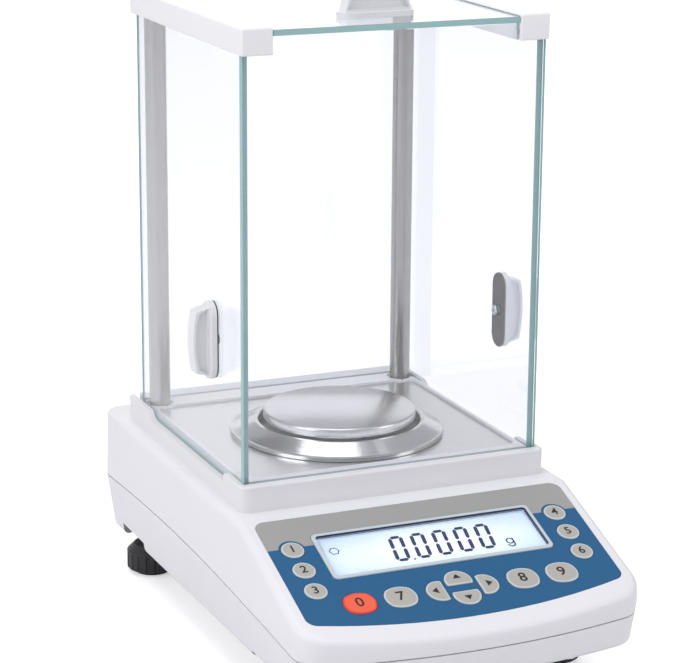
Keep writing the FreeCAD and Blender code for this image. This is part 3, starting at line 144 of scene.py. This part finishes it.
def moulded_grain():
    """Fine mould texture with a slow drift of tone, as a shared node group."""
    group = bpy.data.node_groups.new("moulded_grain", "ShaderNodeTree")
    group.interface.new_socket("Fineness", in_out="INPUT", socket_type="NodeSocketFloat")
    group.interface.new_socket("Tone", in_out="OUTPUT", socket_type="NodeSocketFloat")
    group.interface.new_socket("Height", in_out="OUTPUT", socket_type="NodeSocketFloat")
    start = group.nodes.new("NodeGroupInput")
    end = group.nodes.new("NodeGroupOutput")
    place = group.nodes.new("ShaderNodeTexCoord")
    fine = group.nodes.new("ShaderNodeTexNoise")
    fine.inputs["Detail"].default_value = 2
    group.links.new(place.outputs["Object"], fine.inputs["Vector"])
    group.links.new(start.outputs["Fineness"], fine.inputs["Scale"])
    slow = group.nodes.new("ShaderNodeTexNoise")
    slow.inputs["Scale"].default_value = 14
    slow.inputs["Detail"].default_value = 1
    group.links.new(place.outputs["Object"], slow.inputs["Vector"])
    group.links.new(slow.outputs["Fac"], end.inputs["Tone"])
    group.links.new(fine.outputs["Fac"], end.inputs["Height"])
    return group


GRAIN = moulded_grain()


def moulded(name, colour, roughness, grain=0.12, fineness=1500, drift=0.97, **inputs):
    """Moulded plastic or rubber: a grain you feel more than see."""
    material, nodes, links, shader = principled(name, colour, roughness, **inputs)
    group = nodes.new("ShaderNodeGroup")
    group.node_tree = GRAIN
    group.inputs["Fineness"].default_value = fineness
    tone = nodes.new("ShaderNodeMix")
    tone.data_type = "RGBA"
    tone.inputs["A"].default_value = [c * drift for c in colour[:3]] + [1]
    tone.inputs["B"].default_value = colour
    links.new(group.outputs["Tone"], tone.inputs["Factor"])
    links.new(tone.outputs["Result"], shader.inputs["Base Color"])
    bump = nodes.new("ShaderNodeBump")
    bump.inputs["Strength"].default_value = grain
    bump.inputs["Distance"].default_value = 0.0001
    links.new(group.outputs["Height"], bump.inputs["Height"])
    links.new(bump.outputs["Normal"], shader.inputs["Normal"])
    return material


def coat(node, material):
    """Gives a CAD node its material."""
    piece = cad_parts[node]
    piece.data.materials.clear()
    piece.data.materials.append(material)


def dressed(node, body, slot, *materials, angle=30, bevel=0.0, name=None):
    """A merged and smoothed copy of a CAD node, which stands in for it."""
    bpy.ops.object.select_all(action="DESELECT")
    piece = bpy.data.objects.new(name or node + "_finished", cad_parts[node].data.copy())
    scene.collection.objects.link(piece)
    bpy.context.view_layer.objects.active = piece
    piece.select_set(True)
    bpy.ops.object.mode_set(mode="EDIT")
    bpy.ops.mesh.select_all(action="SELECT")
    bpy.ops.mesh.remove_doubles(threshold=0.000002)
    if bevel:
        bpy.ops.mesh.dissolve_limited(angle_limit=math.radians(1), delimit=set())
    bpy.ops.object.mode_set(mode="OBJECT")
    if piece.data.has_custom_normals:
        bpy.ops.mesh.customdata_custom_splitnormals_clear()
    if bevel:
        edge = piece.modifiers.new("edge", "BEVEL")
        edge.width = bevel
        edge.segments = 2
        edge.limit_method = "ANGLE"
        edge.angle_limit = math.radians(50)
        edge.use_clamp_overlap = True
        bpy.ops.object.modifier_apply(modifier="edge")
    bpy.ops.object.shade_smooth_by_angle(angle=math.radians(angle))
    piece.data.materials.clear()
    for material in materials:
        piece.data.materials.append(material)
    for face in piece.data.polygons:
        face.material_index = 0
    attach(piece, body)
    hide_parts(node)
    return piece


shell_plastic = moulded("housing_plastic", seen(231, 230, 235), 0.42, grain=0.1)
for shell in ("upper_housing", "lower_housing"):
    dressed(shell, "base", "housing_white", shell_plastic, angle=24)

# The chamber tray: a deep moulded frame, screwed to the housing, with grooves for the glass.
# It is a shade greyer than the housing.
tray_plastic = moulded("tray_plastic", seen(227, 226, 230), 0.42)
dressed("chamber_tray", "base", "tray_grey", tray_plastic, angle=24)

# The rails and the rear bar: white plastic channels that hold the tops of the panes.
rail_plastic = moulded("rail_plastic", seen(240, 239, 243), 0.34, grain=0.08)
for rail in ("left_rail", "right_rail", "rear_bar"):
    dressed(rail, "base", "rail_white", rail_plastic, angle=24)

# The posts: two drawn stainless tubes behind the chamber, brushed along their length.


def brushed_lines():
    """Hair-fine scratches along whichever axis has the small scale, as a shared node group."""
    group = bpy.data.node_groups.new("brushed_lines", "ShaderNodeTree")
    group.interface.new_socket("Along", in_out="INPUT", socket_type="NodeSocketVector")
    group.interface.new_socket("Line", in_out="OUTPUT", socket_type="NodeSocketFloat")
    start = group.nodes.new("NodeGroupInput")
    end = group.nodes.new("NodeGroupOutput")
    lines = group.nodes.new("ShaderNodeTexNoise")
    lines.inputs["Scale"].default_value = 1
    lines.inputs["Detail"].default_value = 3
    lines.inputs["Roughness"].default_value = 0.6
    group.links.new(start.outputs["Along"], lines.inputs["Vector"])
    group.links.new(lines.outputs["Fac"], end.inputs["Line"])
    return group


LINES = brushed_lines()


def brushed(name, colour, roughness, stretch=None, axis=None, strength=0.12, depth=0.9):
    """Brushed steel: stretch scales the lines along X, Y and Z; axis makes them run round a point."""
    material, nodes, links, shader = principled(name, colour, roughness, Metallic=1.0)
    place = nodes.new("ShaderNodeTexCoord")
    group = nodes.new("ShaderNodeGroup")
    group.node_tree = LINES
    if axis:
        shift = nodes.new("ShaderNodeVectorMath")
        shift.operation = "SUBTRACT"
        shift.inputs[1].default_value = axis
        flat = nodes.new("ShaderNodeVectorMath")
        flat.operation = "MULTIPLY"
        flat.inputs[1].default_value = (1, 1, 0)
        reach = nodes.new("ShaderNodeVectorMath")
        reach.operation = "LENGTH"
        rings = nodes.new("ShaderNodeCombineXYZ")
        scaled = nodes.new("ShaderNodeMath")
        scaled.operation = "MULTIPLY"
        scaled.inputs[1].default_value = 3000
        links.new(place.outputs["Object"], shift.inputs[0])
        links.new(shift.outputs[0], flat.inputs[0])
        links.new(flat.outputs[0], reach.inputs[0])
        links.new(reach.outputs["Value"], scaled.inputs[0])
        links.new(scaled.outputs[0], rings.inputs["X"])
        links.new(rings.outputs[0], group.inputs["Along"])
    else:
        mapping = nodes.new("ShaderNodeMapping")
        mapping.inputs["Scale"].default_value = stretch
        links.new(place.outputs["Object"], mapping.inputs["Vector"])
        links.new(mapping.outputs["Vector"], group.inputs["Along"])
    tone = nodes.new("ShaderNodeMix")
    tone.data_type = "RGBA"
    tone.inputs["A"].default_value = [c * depth for c in colour[:3]] + [1]
    tone.inputs["B"].default_value = colour
    links.new(group.outputs["Line"], tone.inputs["Factor"])
    links.new(tone.outputs["Result"], shader.inputs["Base Color"])
    polish = nodes.new("ShaderNodeMapRange")
    polish.inputs["To Min"].default_value = roughness * 0.75
    polish.inputs["To Max"].default_value = roughness * 1.25
    links.new(group.outputs["Line"], polish.inputs["Value"])
    links.new(polish.outputs["Result"], shader.inputs["Roughness"])
    bump = nodes.new("ShaderNodeBump")
    bump.inputs["Strength"].default_value = strength
    bump.inputs["Distance"].default_value = 0.00005
    links.new(group.outputs["Line"], bump.inputs["Height"])
    links.new(bump.outputs["Normal"], shader.inputs["Normal"])
    return material


post_steel = brushed("post_steel", seen(160, 158, 157), 0.22, stretch=(3000, 3000, 12))
dressed("corner_posts", "base", "post_steel", post_steel, angle=40)

# The glass: float glass panes with ground edges that look green-blue, each held in its grooves.
# The two sides and the top slide back along the rails.


def clear_glass(name, tint):
    material, nodes, links, shader = principled(name, tint, 0.0, IOR=1.5)
    shader.inputs["Transmission Weight"].default_value = 1.0
    output = nodes["Material Output"]
    path = nodes.new("ShaderNodeLightPath")
    passing = nodes.new("ShaderNodeBsdfTransparent")
    passing.inputs["Color"].default_value = (0.95, 0.96, 0.965, 1)
    mix = nodes.new("ShaderNodeMixShader")
    either = nodes.new("ShaderNodeMath")
    either.operation = "MAXIMUM"
    links.new(path.outputs["Is Shadow Ray"], either.inputs[0])
    links.new(path.outputs["Is Diffuse Ray"], either.inputs[1])
    links.new(either.outputs[0], mix.inputs["Fac"])
    links.new(shader.outputs["BSDF"], mix.inputs[1])
    links.new(passing.outputs["BSDF"], mix.inputs[2])
    links.new(mix.outputs["Shader"], output.inputs["Surface"])
    return material


pane_glass = clear_glass("pane_glass", seen(245, 246, 249))
edge_glass = moulded("glass_edge", seen(158, 196, 196), 0.18, grain=0.05, fineness=400, drift=0.85)


def pane(node, body, thin):
    """A pane whose narrow faces show the colour of the glass."""
    sheet = dressed(node, body, "clear_glass", pane_glass, edge_glass, bevel=0.0003)
    for face in sheet.data.polygons:
        face.use_smooth = False
        if abs(face.normal[thin]) < 0.9:
            face.material_index = 1
    return sheet


pane("front_glass", "base", 1)
pane("rear_glass", "base", 1)
pane("left_door_glass", "left_door", 0)
pane("right_door_glass", "right_door", 0)
pane("top_glass", "top_door", 2)

# The door handles: silver-grey moulded grips with dished sides, each on a dark rubber pad.
# One cross-head screw goes through the glass into the grip.
handle_plastic = moulded("handle_plastic", seen(232, 232, 236), 0.3, grain=0.06)
pad_rubber = moulded("handle_pad_rubber", seen(30, 30, 32), 0.8, grain=0.3)
screw_steel, *_ = principled("screw_zinc", seen(200, 200, 205), 0.25, Metallic=1.0)
for side in ("left", "right"):
    dressed(side + "_handle", side + "_door", "handle_grey", handle_plastic, angle=35)
    dressed(side + "_handle_pad", side + "_door", "pad_rubber", pad_rubber, angle=35)
    dressed(side + "_handle_screw", side + "_door", "screw_steel", screw_steel, angle=35)
dressed("top_handle", "top_door", "handle_grey", handle_plastic, angle=35)

# The chamber's floor, the draft ring and the pan: stainless sheet, brushed straight on the floor
# and pan and turned on the ring.
pan_low, pan_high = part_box("weighing_pan")
pan_axis = ((pan_low.x + pan_high.x) / 2, (pan_low.y + pan_high.y) / 2, 0)
floor_steel = brushed("floor_steel", seen(216, 215, 216), 0.3, stretch=(30, 2500, 2500))
ring_steel = brushed("ring_steel", seen(205, 205, 205), 0.16, axis=pan_axis, depth=0.95)
pan_steel = brushed("pan_steel", seen(218, 217, 219), 0.24, stretch=(30, 2500, 2500))
dressed("floor_plate", "floor", "pan_steel", floor_steel, angle=30)
dressed("draft_ring", "ring", "pan_steel", ring_steel, angle=24)
dressed("weighing_pan", "pan", "pan_steel", pan_steel, angle=50)
coat("load_carrier", post_steel)

# The keypad film: one printed sheet, grey across the top and blue below, let into the housing.
# The blue climbs round the upper round key on each side as a thin ring.
film_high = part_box("keypad_overlay")[1]
SLOPE = math.radians(20)
FILM_TOP = 0.0018
hinge = Vector((0, film_high.y + FILM_TOP * math.cos(SLOPE), film_high.z + FILM_TOP * math.sin(SLOPE)))
panel = Matrix.Translation(hinge) @ Matrix.Rotation(SLOPE, 4, "X")


def printed_film(grey, blue, border, key_place, ring):
    material, nodes, links, shader = principled("keypad_film", blue, 0.42, Specular_IOR_Level=0.2)
    place = nodes.new("ShaderNodeTexCoord")
    flat = nodes.new("ShaderNodeMapping")
    flat.vector_type = "TEXTURE"
    flat.inputs["Location"].default_value = hinge
    flat.inputs["Rotation"].default_value = (SLOPE, 0, 0)
    links.new(place.outputs["Object"], flat.inputs["Vector"])
    split = nodes.new("ShaderNodeSeparateXYZ")
    links.new(flat.outputs["Vector"], split.inputs[0])

    def step(operation, *terms):
        node = nodes.new("ShaderNodeMath")
        node.operation = operation
        for i, term in enumerate(terms):
            if isinstance(term, (int, float)):
                node.inputs[i].default_value = term
            else:
                links.new(term, node.inputs[i])
        return node.outputs[0]

    below = step("LESS_THAN", split.outputs["Y"], border)
    across = step("SUBTRACT", step("ABSOLUTE", split.outputs["X"]), key_place[0])
    along = step("SUBTRACT", split.outputs["Y"], key_place[1])
    reach = step("SQRT", step("ADD", step("MULTIPLY", across, across), step("MULTIPLY", along, along)))
    round_key = step("LESS_THAN", reach, ring)
    mask = step("MAXIMUM", below, round_key)
    tone = nodes.new("ShaderNodeMix")
    tone.data_type = "RGBA"
    tone.inputs["A"].default_value = grey
    tone.inputs["B"].default_value = blue
    links.new(mask, tone.inputs["Factor"])
    links.new(tone.outputs["Result"], shader.inputs["Base Color"])
    group = nodes.new("ShaderNodeGroup")
    group.node_tree = GRAIN
    group.inputs["Fineness"].default_value = 2500
    bump = nodes.new("ShaderNodeBump")
    bump.inputs["Strength"].default_value = 0.08
    bump.inputs["Distance"].default_value = 0.0001
    links.new(group.outputs["Height"], bump.inputs["Height"])
    links.new(bump.outputs["Normal"], shader.inputs["Normal"])
    return material


film_print = printed_film(seen(160, 160, 158), seen(38, 94, 138), -0.0246, (0.0752, -0.0262), 0.0072)
dressed("keypad_overlay", "base", "keypad_film", film_print, angle=24)

# The keys: soft caps let through the film, grey but for one orange, each with a pale moulded rim
# and a plain black mark.
key_grey = moulded("key_grey", seen(178, 174, 168), 0.55, grain=0.25)
key_orange = moulded("key_orange", seen(242, 96, 62), 0.5, grain=0.2)
rim_grey = moulded("key_rim", seen(196, 208, 214), 0.4, grain=0.05)
rim_orange = moulded("key_rim_orange", seen(228, 60, 50), 0.45, grain=0.05)
mark_ink = moulded("mark_ink", seen(38, 34, 32), 0.6, grain=0.05)
panel_up = panel.to_3x3() @ Vector((0, 0, 1))


def local(point):
    """A point's place on the panel: across, up the slope, and out of it."""
    return panel.inverted() @ point


def key_cap(node, body, face_colour, rim_colour, slot):
    """The CAD key with its top face inset, so that the rim takes its own colour."""
    cap = dressed(node, body, slot, face_colour, rim_colour, angle=24)
    top = max(local(v.co).z for v in cap.data.vertices)
    bpy.ops.object.select_all(action="DESELECT")
    bpy.context.view_layer.objects.active = cap
    cap.select_set(True)
    bpy.ops.object.mode_set(mode="EDIT")
    bpy.ops.mesh.select_all(action="DESELECT")
    bpy.ops.mesh.select_mode(type="FACE")
    bpy.ops.object.mode_set(mode="OBJECT")
    for face in cap.data.polygons:
        face.select = local(face.center).z > top - 0.00001 and face.normal.dot(panel_up) > 0.99
    bpy.ops.object.mode_set(mode="EDIT")
    bpy.ops.mesh.dissolve_faces()
    bpy.ops.mesh.inset(thickness=0.00055, depth=0)
    bpy.ops.object.mode_set(mode="OBJECT")
    for face in cap.data.polygons:
        if not face.select and local(face.center).z > top - 0.0004:
            face.material_index = 1
    centre = sum((local(v.co) for v in cap.data.vertices), Vector()) / len(cap.data.vertices)
    bpy.ops.object.mode_set(mode="EDIT")
    bpy.ops.mesh.select_all(action="DESELECT")
    bpy.ops.object.mode_set(mode="OBJECT")
    low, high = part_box(node)
    middle = local((low + high) / 2)
    return Vector((middle.x, middle.y, top))


def onto_panel(piece, centre):
    """Lays a flat mark on the panel at a place given in the panel's own directions."""
    piece.data.transform(panel @ Matrix.Translation(centre))
    piece.matrix_world = Matrix.Identity(4)


def mark(name, text, size, centre, body, bold=0.00012):
    """A plain printed figure on a key."""
    bpy.ops.object.select_all(action="DESELECT")
    bpy.ops.object.text_add()
    figure = bpy.context.object
    figure.data.body = text
    figure.data.size = size
    figure.data.align_x = "CENTER"
    figure.data.align_y = "CENTER"
    figure.data.offset = bold
    figure.data.extrude = 0.00002
    figure.data.resolution_u = 4
    bpy.ops.object.convert(target="MESH")
    figure = bpy.context.object
    figure.name = name
    onto_panel(figure, centre + Vector((0, 0, 0.00003)))
    figure.data.materials.clear()
    figure.data.materials.append(mark_ink)
    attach(figure, body)


for number, node in enumerate(("key_left_upper", "key_left_middle", "key_left_lower",
                               "key_right_upper", "key_right_middle", "key_right_lower"), 1):
    place = key_cap(node, node + "_body", key_grey, rim_grey, "key_grey")
    mark(node + "_mark", str(number), 0.0074, place, node + "_body")
for figure, node in (("7", "key_inner_left"), ("8", "key_inner_right"), ("9", "key_outer_right")):
    place = key_cap(node, node + "_body", key_grey, rim_grey, "key_grey")
    mark(node + "_mark", figure, 0.0092, place, node + "_body")
place = key_cap("key_outer_left", "key_outer_left_body", key_orange, rim_orange, "key_orange")
mark("key_outer_left_mark", "0", 0.0092, place, "key_outer_left_body")
for node, turn in (("key_arrow_up", 0), ("key_arrow_left", 90), ("key_arrow_down", 180),
                   ("key_arrow_right", 270)):
    place = key_cap(node, node + "_body", key_grey, rim_grey, "key_grey")
    bpy.ops.object.select_all(action="DESELECT")
    bpy.ops.mesh.primitive_circle_add(vertices=3, radius=0.0026, fill_type="NGON")
    arrow = bpy.context.object
    arrow.name = node + "_mark"
    arrow.data.transform(Matrix.Rotation(math.radians(turn), 4, "Z") @ Matrix.Scale(0.85, 4, (0, 1, 0)))
    bpy.ops.object.mode_set(mode="EDIT")
    bpy.ops.mesh.select_all(action="SELECT")
    bpy.ops.mesh.extrude_region_move(TRANSFORM_OT_translate={"value": (0, 0, 0.00004)})
    bpy.ops.mesh.select_all(action="SELECT")
    bpy.ops.mesh.normals_make_consistent(inside=False)
    bpy.ops.object.mode_set(mode="OBJECT")
    onto_panel(arrow, place + Vector((0, 0, 0.00001)))
    arrow.data.materials.append(mark_ink)
    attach(arrow, node + "_body")

# The display: a pale moulded bezel whose inner walls carry painted shade in dark navy for the shadow in
# the recess, a clear window, and a lit liquid crystal with slanted seven-bar figures.
bezel_plastic = moulded("bezel_plastic", seen(196, 206, 214), 0.35, grain=0.05)
# Dark navy painted shade for the bezel's inner walls, standing in for the shadow inside the recess.
bezel_wall_painted_shade = moulded("bezel_wall_painted_shade", seen(30, 44, 78), 0.5, grain=0.05)
bezel = dressed("display_bezel", "base", "bezel_grey", bezel_plastic, bezel_wall_painted_shade, angle=35)
window_low, window_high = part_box("display_window")
screen_centre = local((window_low + window_high) / 2)
# Painted shade: the bezel's inner walls that face the screen take the dark navy colour instead of real shadow.
for face in bezel.data.polygons:
    middle = local(face.center)
    facing = panel.to_3x3().transposed() @ face.normal
    inward = facing.x * (screen_centre.x - middle.x) + facing.y * (screen_centre.y - middle.y)
    if inward > 0 and abs(facing.z) < 0.3 and middle.z < 0.0007:
        face.material_index = 1
window_clear = clear_glass("window_clear", seen(250, 252, 254))
dressed("display_window", "base", "window_clear", window_clear, angle=35)


def lit_crystal(name, centre, middle_colour, rim_colour, spread):
    """The back-lit liquid crystal: brightest in the middle, bluer to the rim."""
    material, nodes, links, shader = principled(name, middle_colour, 0.35)
    place = nodes.new("ShaderNodeTexCoord")
    shift = nodes.new("ShaderNodeMapping")
    shift.vector_type = "TEXTURE"
    shift.inputs["Location"].default_value = panel @ centre
    shift.inputs["Rotation"].default_value = (SLOPE, 0, 0)
    shift.inputs["Scale"].default_value = spread
    links.new(place.outputs["Object"], shift.inputs["Vector"])
    reach = nodes.new("ShaderNodeVectorMath")
    reach.operation = "LENGTH"
    links.new(shift.outputs["Vector"], reach.inputs[0])
    ramp = nodes.new("ShaderNodeMapRange")
    ramp.interpolation_type = "SMOOTHSTEP"
    ramp.inputs["From Min"].default_value = 0.1
    ramp.inputs["From Max"].default_value = 1.3
    links.new(reach.outputs["Value"], ramp.inputs["Value"])
    tone = nodes.new("ShaderNodeMix")
    tone.data_type = "RGBA"
    tone.inputs["A"].default_value = middle_colour
    tone.inputs["B"].default_value = rim_colour
    links.new(ramp.outputs["Result"], tone.inputs["Factor"])
    links.new(tone.outputs["Result"], shader.inputs["Base Color"])
    links.new(tone.outputs["Result"], shader.inputs["Emission Color"])
    shader.inputs["Emission Strength"].default_value = 0.3
    return material


crystal = lit_crystal("lit_crystal", screen_centre, seen(238, 245, 250), seen(194, 215, 238),
                      (0.075, 0.024, 0.05))
dressed("lcd_module", "base", "lcd_pale", crystal, angle=35)
digit_ink = moulded("digit_ink", seen(30, 38, 92), 0.6, grain=0.02)
crystal_top = max(local(v.co).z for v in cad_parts["lcd_module"].data.vertices)

DIGIT_TALL = 0.0198
DIGIT_WIDE = 0.0082
DIGIT_STEP = 0.01225
DIGIT_LEAN = 0.12
BAR = 0.0021
FIRST_DIGIT = Vector((-0.0246, -0.0453, 0))


def bar(length, centre, upright):
    """One bar of a figure: a strip with pointed ends."""
    bpy.ops.mesh.primitive_circle_add(vertices=6, radius=0.5, fill_type="NGON")
    strip = bpy.context.object
    for v in strip.data.vertices:
        tip = abs(v.co.x) < 0.01
        v.co.y = math.copysign(length / 2 if tip else length / 2 - BAR / 2, v.co.y)
        v.co.x = 0 if tip else math.copysign(BAR / 2, v.co.x)
    turn = Matrix.Identity(4) if upright else Matrix.Rotation(math.radians(90), 4, "Z")
    strip.data.transform(Matrix.Translation(centre) @ turn)
    return strip


def join_flat(name, strips, lean):
    """Joins flat strips into one thin print, leaning as the figures do."""
    bpy.ops.object.select_all(action="DESELECT")
    for strip in strips:
        strip.select_set(True)
    bpy.context.view_layer.objects.active = strips[0]
    bpy.ops.object.join()
    piece = bpy.context.object
    piece.name = name
    bpy.ops.object.mode_set(mode="EDIT")
    bpy.ops.mesh.select_all(action="SELECT")
    bpy.ops.mesh.extrude_region_move(TRANSFORM_OT_translate={"value": (0, 0, 0.00006)})
    bpy.ops.mesh.select_all(action="SELECT")
    bpy.ops.mesh.normals_make_consistent(inside=False)
    bpy.ops.object.mode_set(mode="OBJECT")
    piece.data.transform(Matrix(((1, lean, 0, 0), (0, 1, 0, 0), (0, 0, 1, 0), (0, 0, 0, 1))))
    return piece


strips = []
half = DIGIT_TALL / 2 - BAR / 2
for digit in range(5):
    left = digit * DIGIT_STEP + BAR / 2
    right = left + DIGIT_WIDE - BAR
    for x in (left, right):
        for level in (0.5, 1.5):
            strips.append(bar(half - 0.0005, Vector((x, BAR / 2 + half * level, 0)), True))
    for y in (BAR / 2, DIGIT_TALL - BAR / 2):
        strips.append(bar(right - left - 0.0005, Vector(((left + right) / 2, y, 0)), False))
figures = join_flat("display_figures", strips, DIGIT_LEAN)
bpy.ops.object.select_all(action="DESELECT")
onto_panel(figures, FIRST_DIGIT + Vector((0, 0, crystal_top)))
figures.data.materials.clear()
figures.data.materials.append(digit_ink)
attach(figures, "base")


UNIT_RING = 0.0019
UNIT_LINE = 0.0004
UNIT_TAIL = 0.0024
UNIT_STEM = 0.0046
UNIT_FLAT = 0.15
UNIT_LIFT = 0.00006


def unit_ring():
    """One round stroke of the unit letter."""
    bpy.ops.mesh.primitive_torus_add(major_segments=24, minor_segments=6, major_radius=UNIT_RING,
                                     minor_radius=UNIT_LINE)
    return bpy.context.object


bpy.ops.object.select_all(action="DESELECT")
ring = unit_ring()
hook = unit_ring()
for v in hook.data.vertices:
    v.co.y = min(v.co.y, 0) - UNIT_TAIL
bpy.ops.mesh.primitive_cube_add(size=1)
stem = bpy.context.object
stroke = Matrix.Diagonal((UNIT_LINE * 2, UNIT_STEM, UNIT_LINE, 1))
stem.data.transform(Matrix.Translation((UNIT_RING, -0.0003, 0)) @ stroke)
bpy.ops.object.select_all(action="DESELECT")
for piece in (ring, hook, stem):
    piece.select_set(True)
bpy.context.view_layer.objects.active = ring
bpy.ops.object.join()
unit = bpy.context.object
unit.name = "display_unit"
unit.data.transform(Matrix.Scale(UNIT_FLAT, 4, (0, 0, 1)))
onto_panel(unit, Vector((0.0415, -0.0418, crystal_top + UNIT_LIFT)))
bpy.ops.object.select_all(action="DESELECT")
bpy.ops.mesh.primitive_circle_add(vertices=4, radius=0.0008, fill_type="NGON")
point = bpy.context.object
bpy.ops.mesh.primitive_torus_add(major_segments=6, minor_segments=6, major_radius=0.0026, minor_radius=0.0003)
settled = bpy.context.object
settled.data.transform(Matrix.Scale(0.15, 4, (0, 0, 1)))
settled.name = "display_steady_mark"
onto_panel(settled, Vector((-0.0536, -0.0303, crystal_top + 0.00006)))
point.name = "display_point"
bpy.ops.object.select_all(action="DESELECT")
bpy.context.view_layer.objects.active = point
point.select_set(True)
bpy.ops.object.mode_set(mode="EDIT")
bpy.ops.mesh.select_all(action="SELECT")
bpy.ops.mesh.extrude_region_move(TRANSFORM_OT_translate={"value": (0, 0, 0.00006)})
bpy.ops.mesh.select_all(action="SELECT")
bpy.ops.mesh.normals_make_consistent(inside=False)
bpy.ops.object.mode_set(mode="OBJECT")
point.data.transform(Matrix.Rotation(math.radians(45), 4, "Z"))
onto_panel(point, Vector((-0.0144, -0.0449, crystal_top)))
for piece in (unit, settled, point):
    piece.data.materials.clear()
    piece.data.materials.append(digit_ink)
    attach(piece, "base")

# The feet: black moulded wheels, fluted for the fingers, on plated studs, over rubber pads.
foot_plastic = moulded("foot_plastic", seen(38, 37, 41), 0.38, grain=0.1)
foot_rubber = moulded("foot_rubber", seen(26, 26, 27), 0.85, grain=0.4)
for corner in ("front_left", "front_right", "rear_left", "rear_right"):
    dressed("foot_wheel_" + corner, "wheel_" + corner, "foot_black", foot_plastic, angle=30)
    dressed("foot_pad_" + corner, "pad_" + corner, "foot_rubber", foot_rubber, angle=30)

# The back: data connector, power inlet and the round level under the chamber's rear edge.
connector_tin, *_ = principled("connector_tin", seen(196, 196, 200), 0.3, Metallic=1.0)
inlet_black = moulded("inlet_black", seen(24, 24, 26), 0.5, grain=0.2)
dressed("serial_port", "base", "connector_metal", connector_tin, angle=30)
dressed("power_socket", "base", "connector_black", inlet_black, angle=30)
vial_fluid = clear_glass("vial_fluid", seen(206, 228, 120))
dressed("level_vial", "base", "vial_glass", vial_fluid, angle=30)

# The works: cast frame, lever, magnet, circuit boards and screws, hidden inside the housing.
cast_alloy = moulded("cast_alloy", seen(190, 192, 195), 0.4, grain=0.3, fineness=900, Metallic=1.0)
magnet_iron = moulded("magnet_iron", seen(104, 106, 112), 0.45, grain=0.2, Metallic=1.0)
board_green = moulded("board_green", seen(24, 92, 58), 0.4, grain=0.1)
brass = moulded("bush_brass", seen(206, 174, 98), 0.3, grain=0.1, Metallic=1.0)
for node, material in (("chassis_plate", cast_alloy), ("cell_frame", cast_alloy), ("lever_beam", cast_alloy),
                       ("magnet_pot", magnet_iron), ("display_board", board_green), ("main_board", board_green),
                       ("foot_bushes", brass), ("housing_screws", screw_steel)):
    coat(node, material)
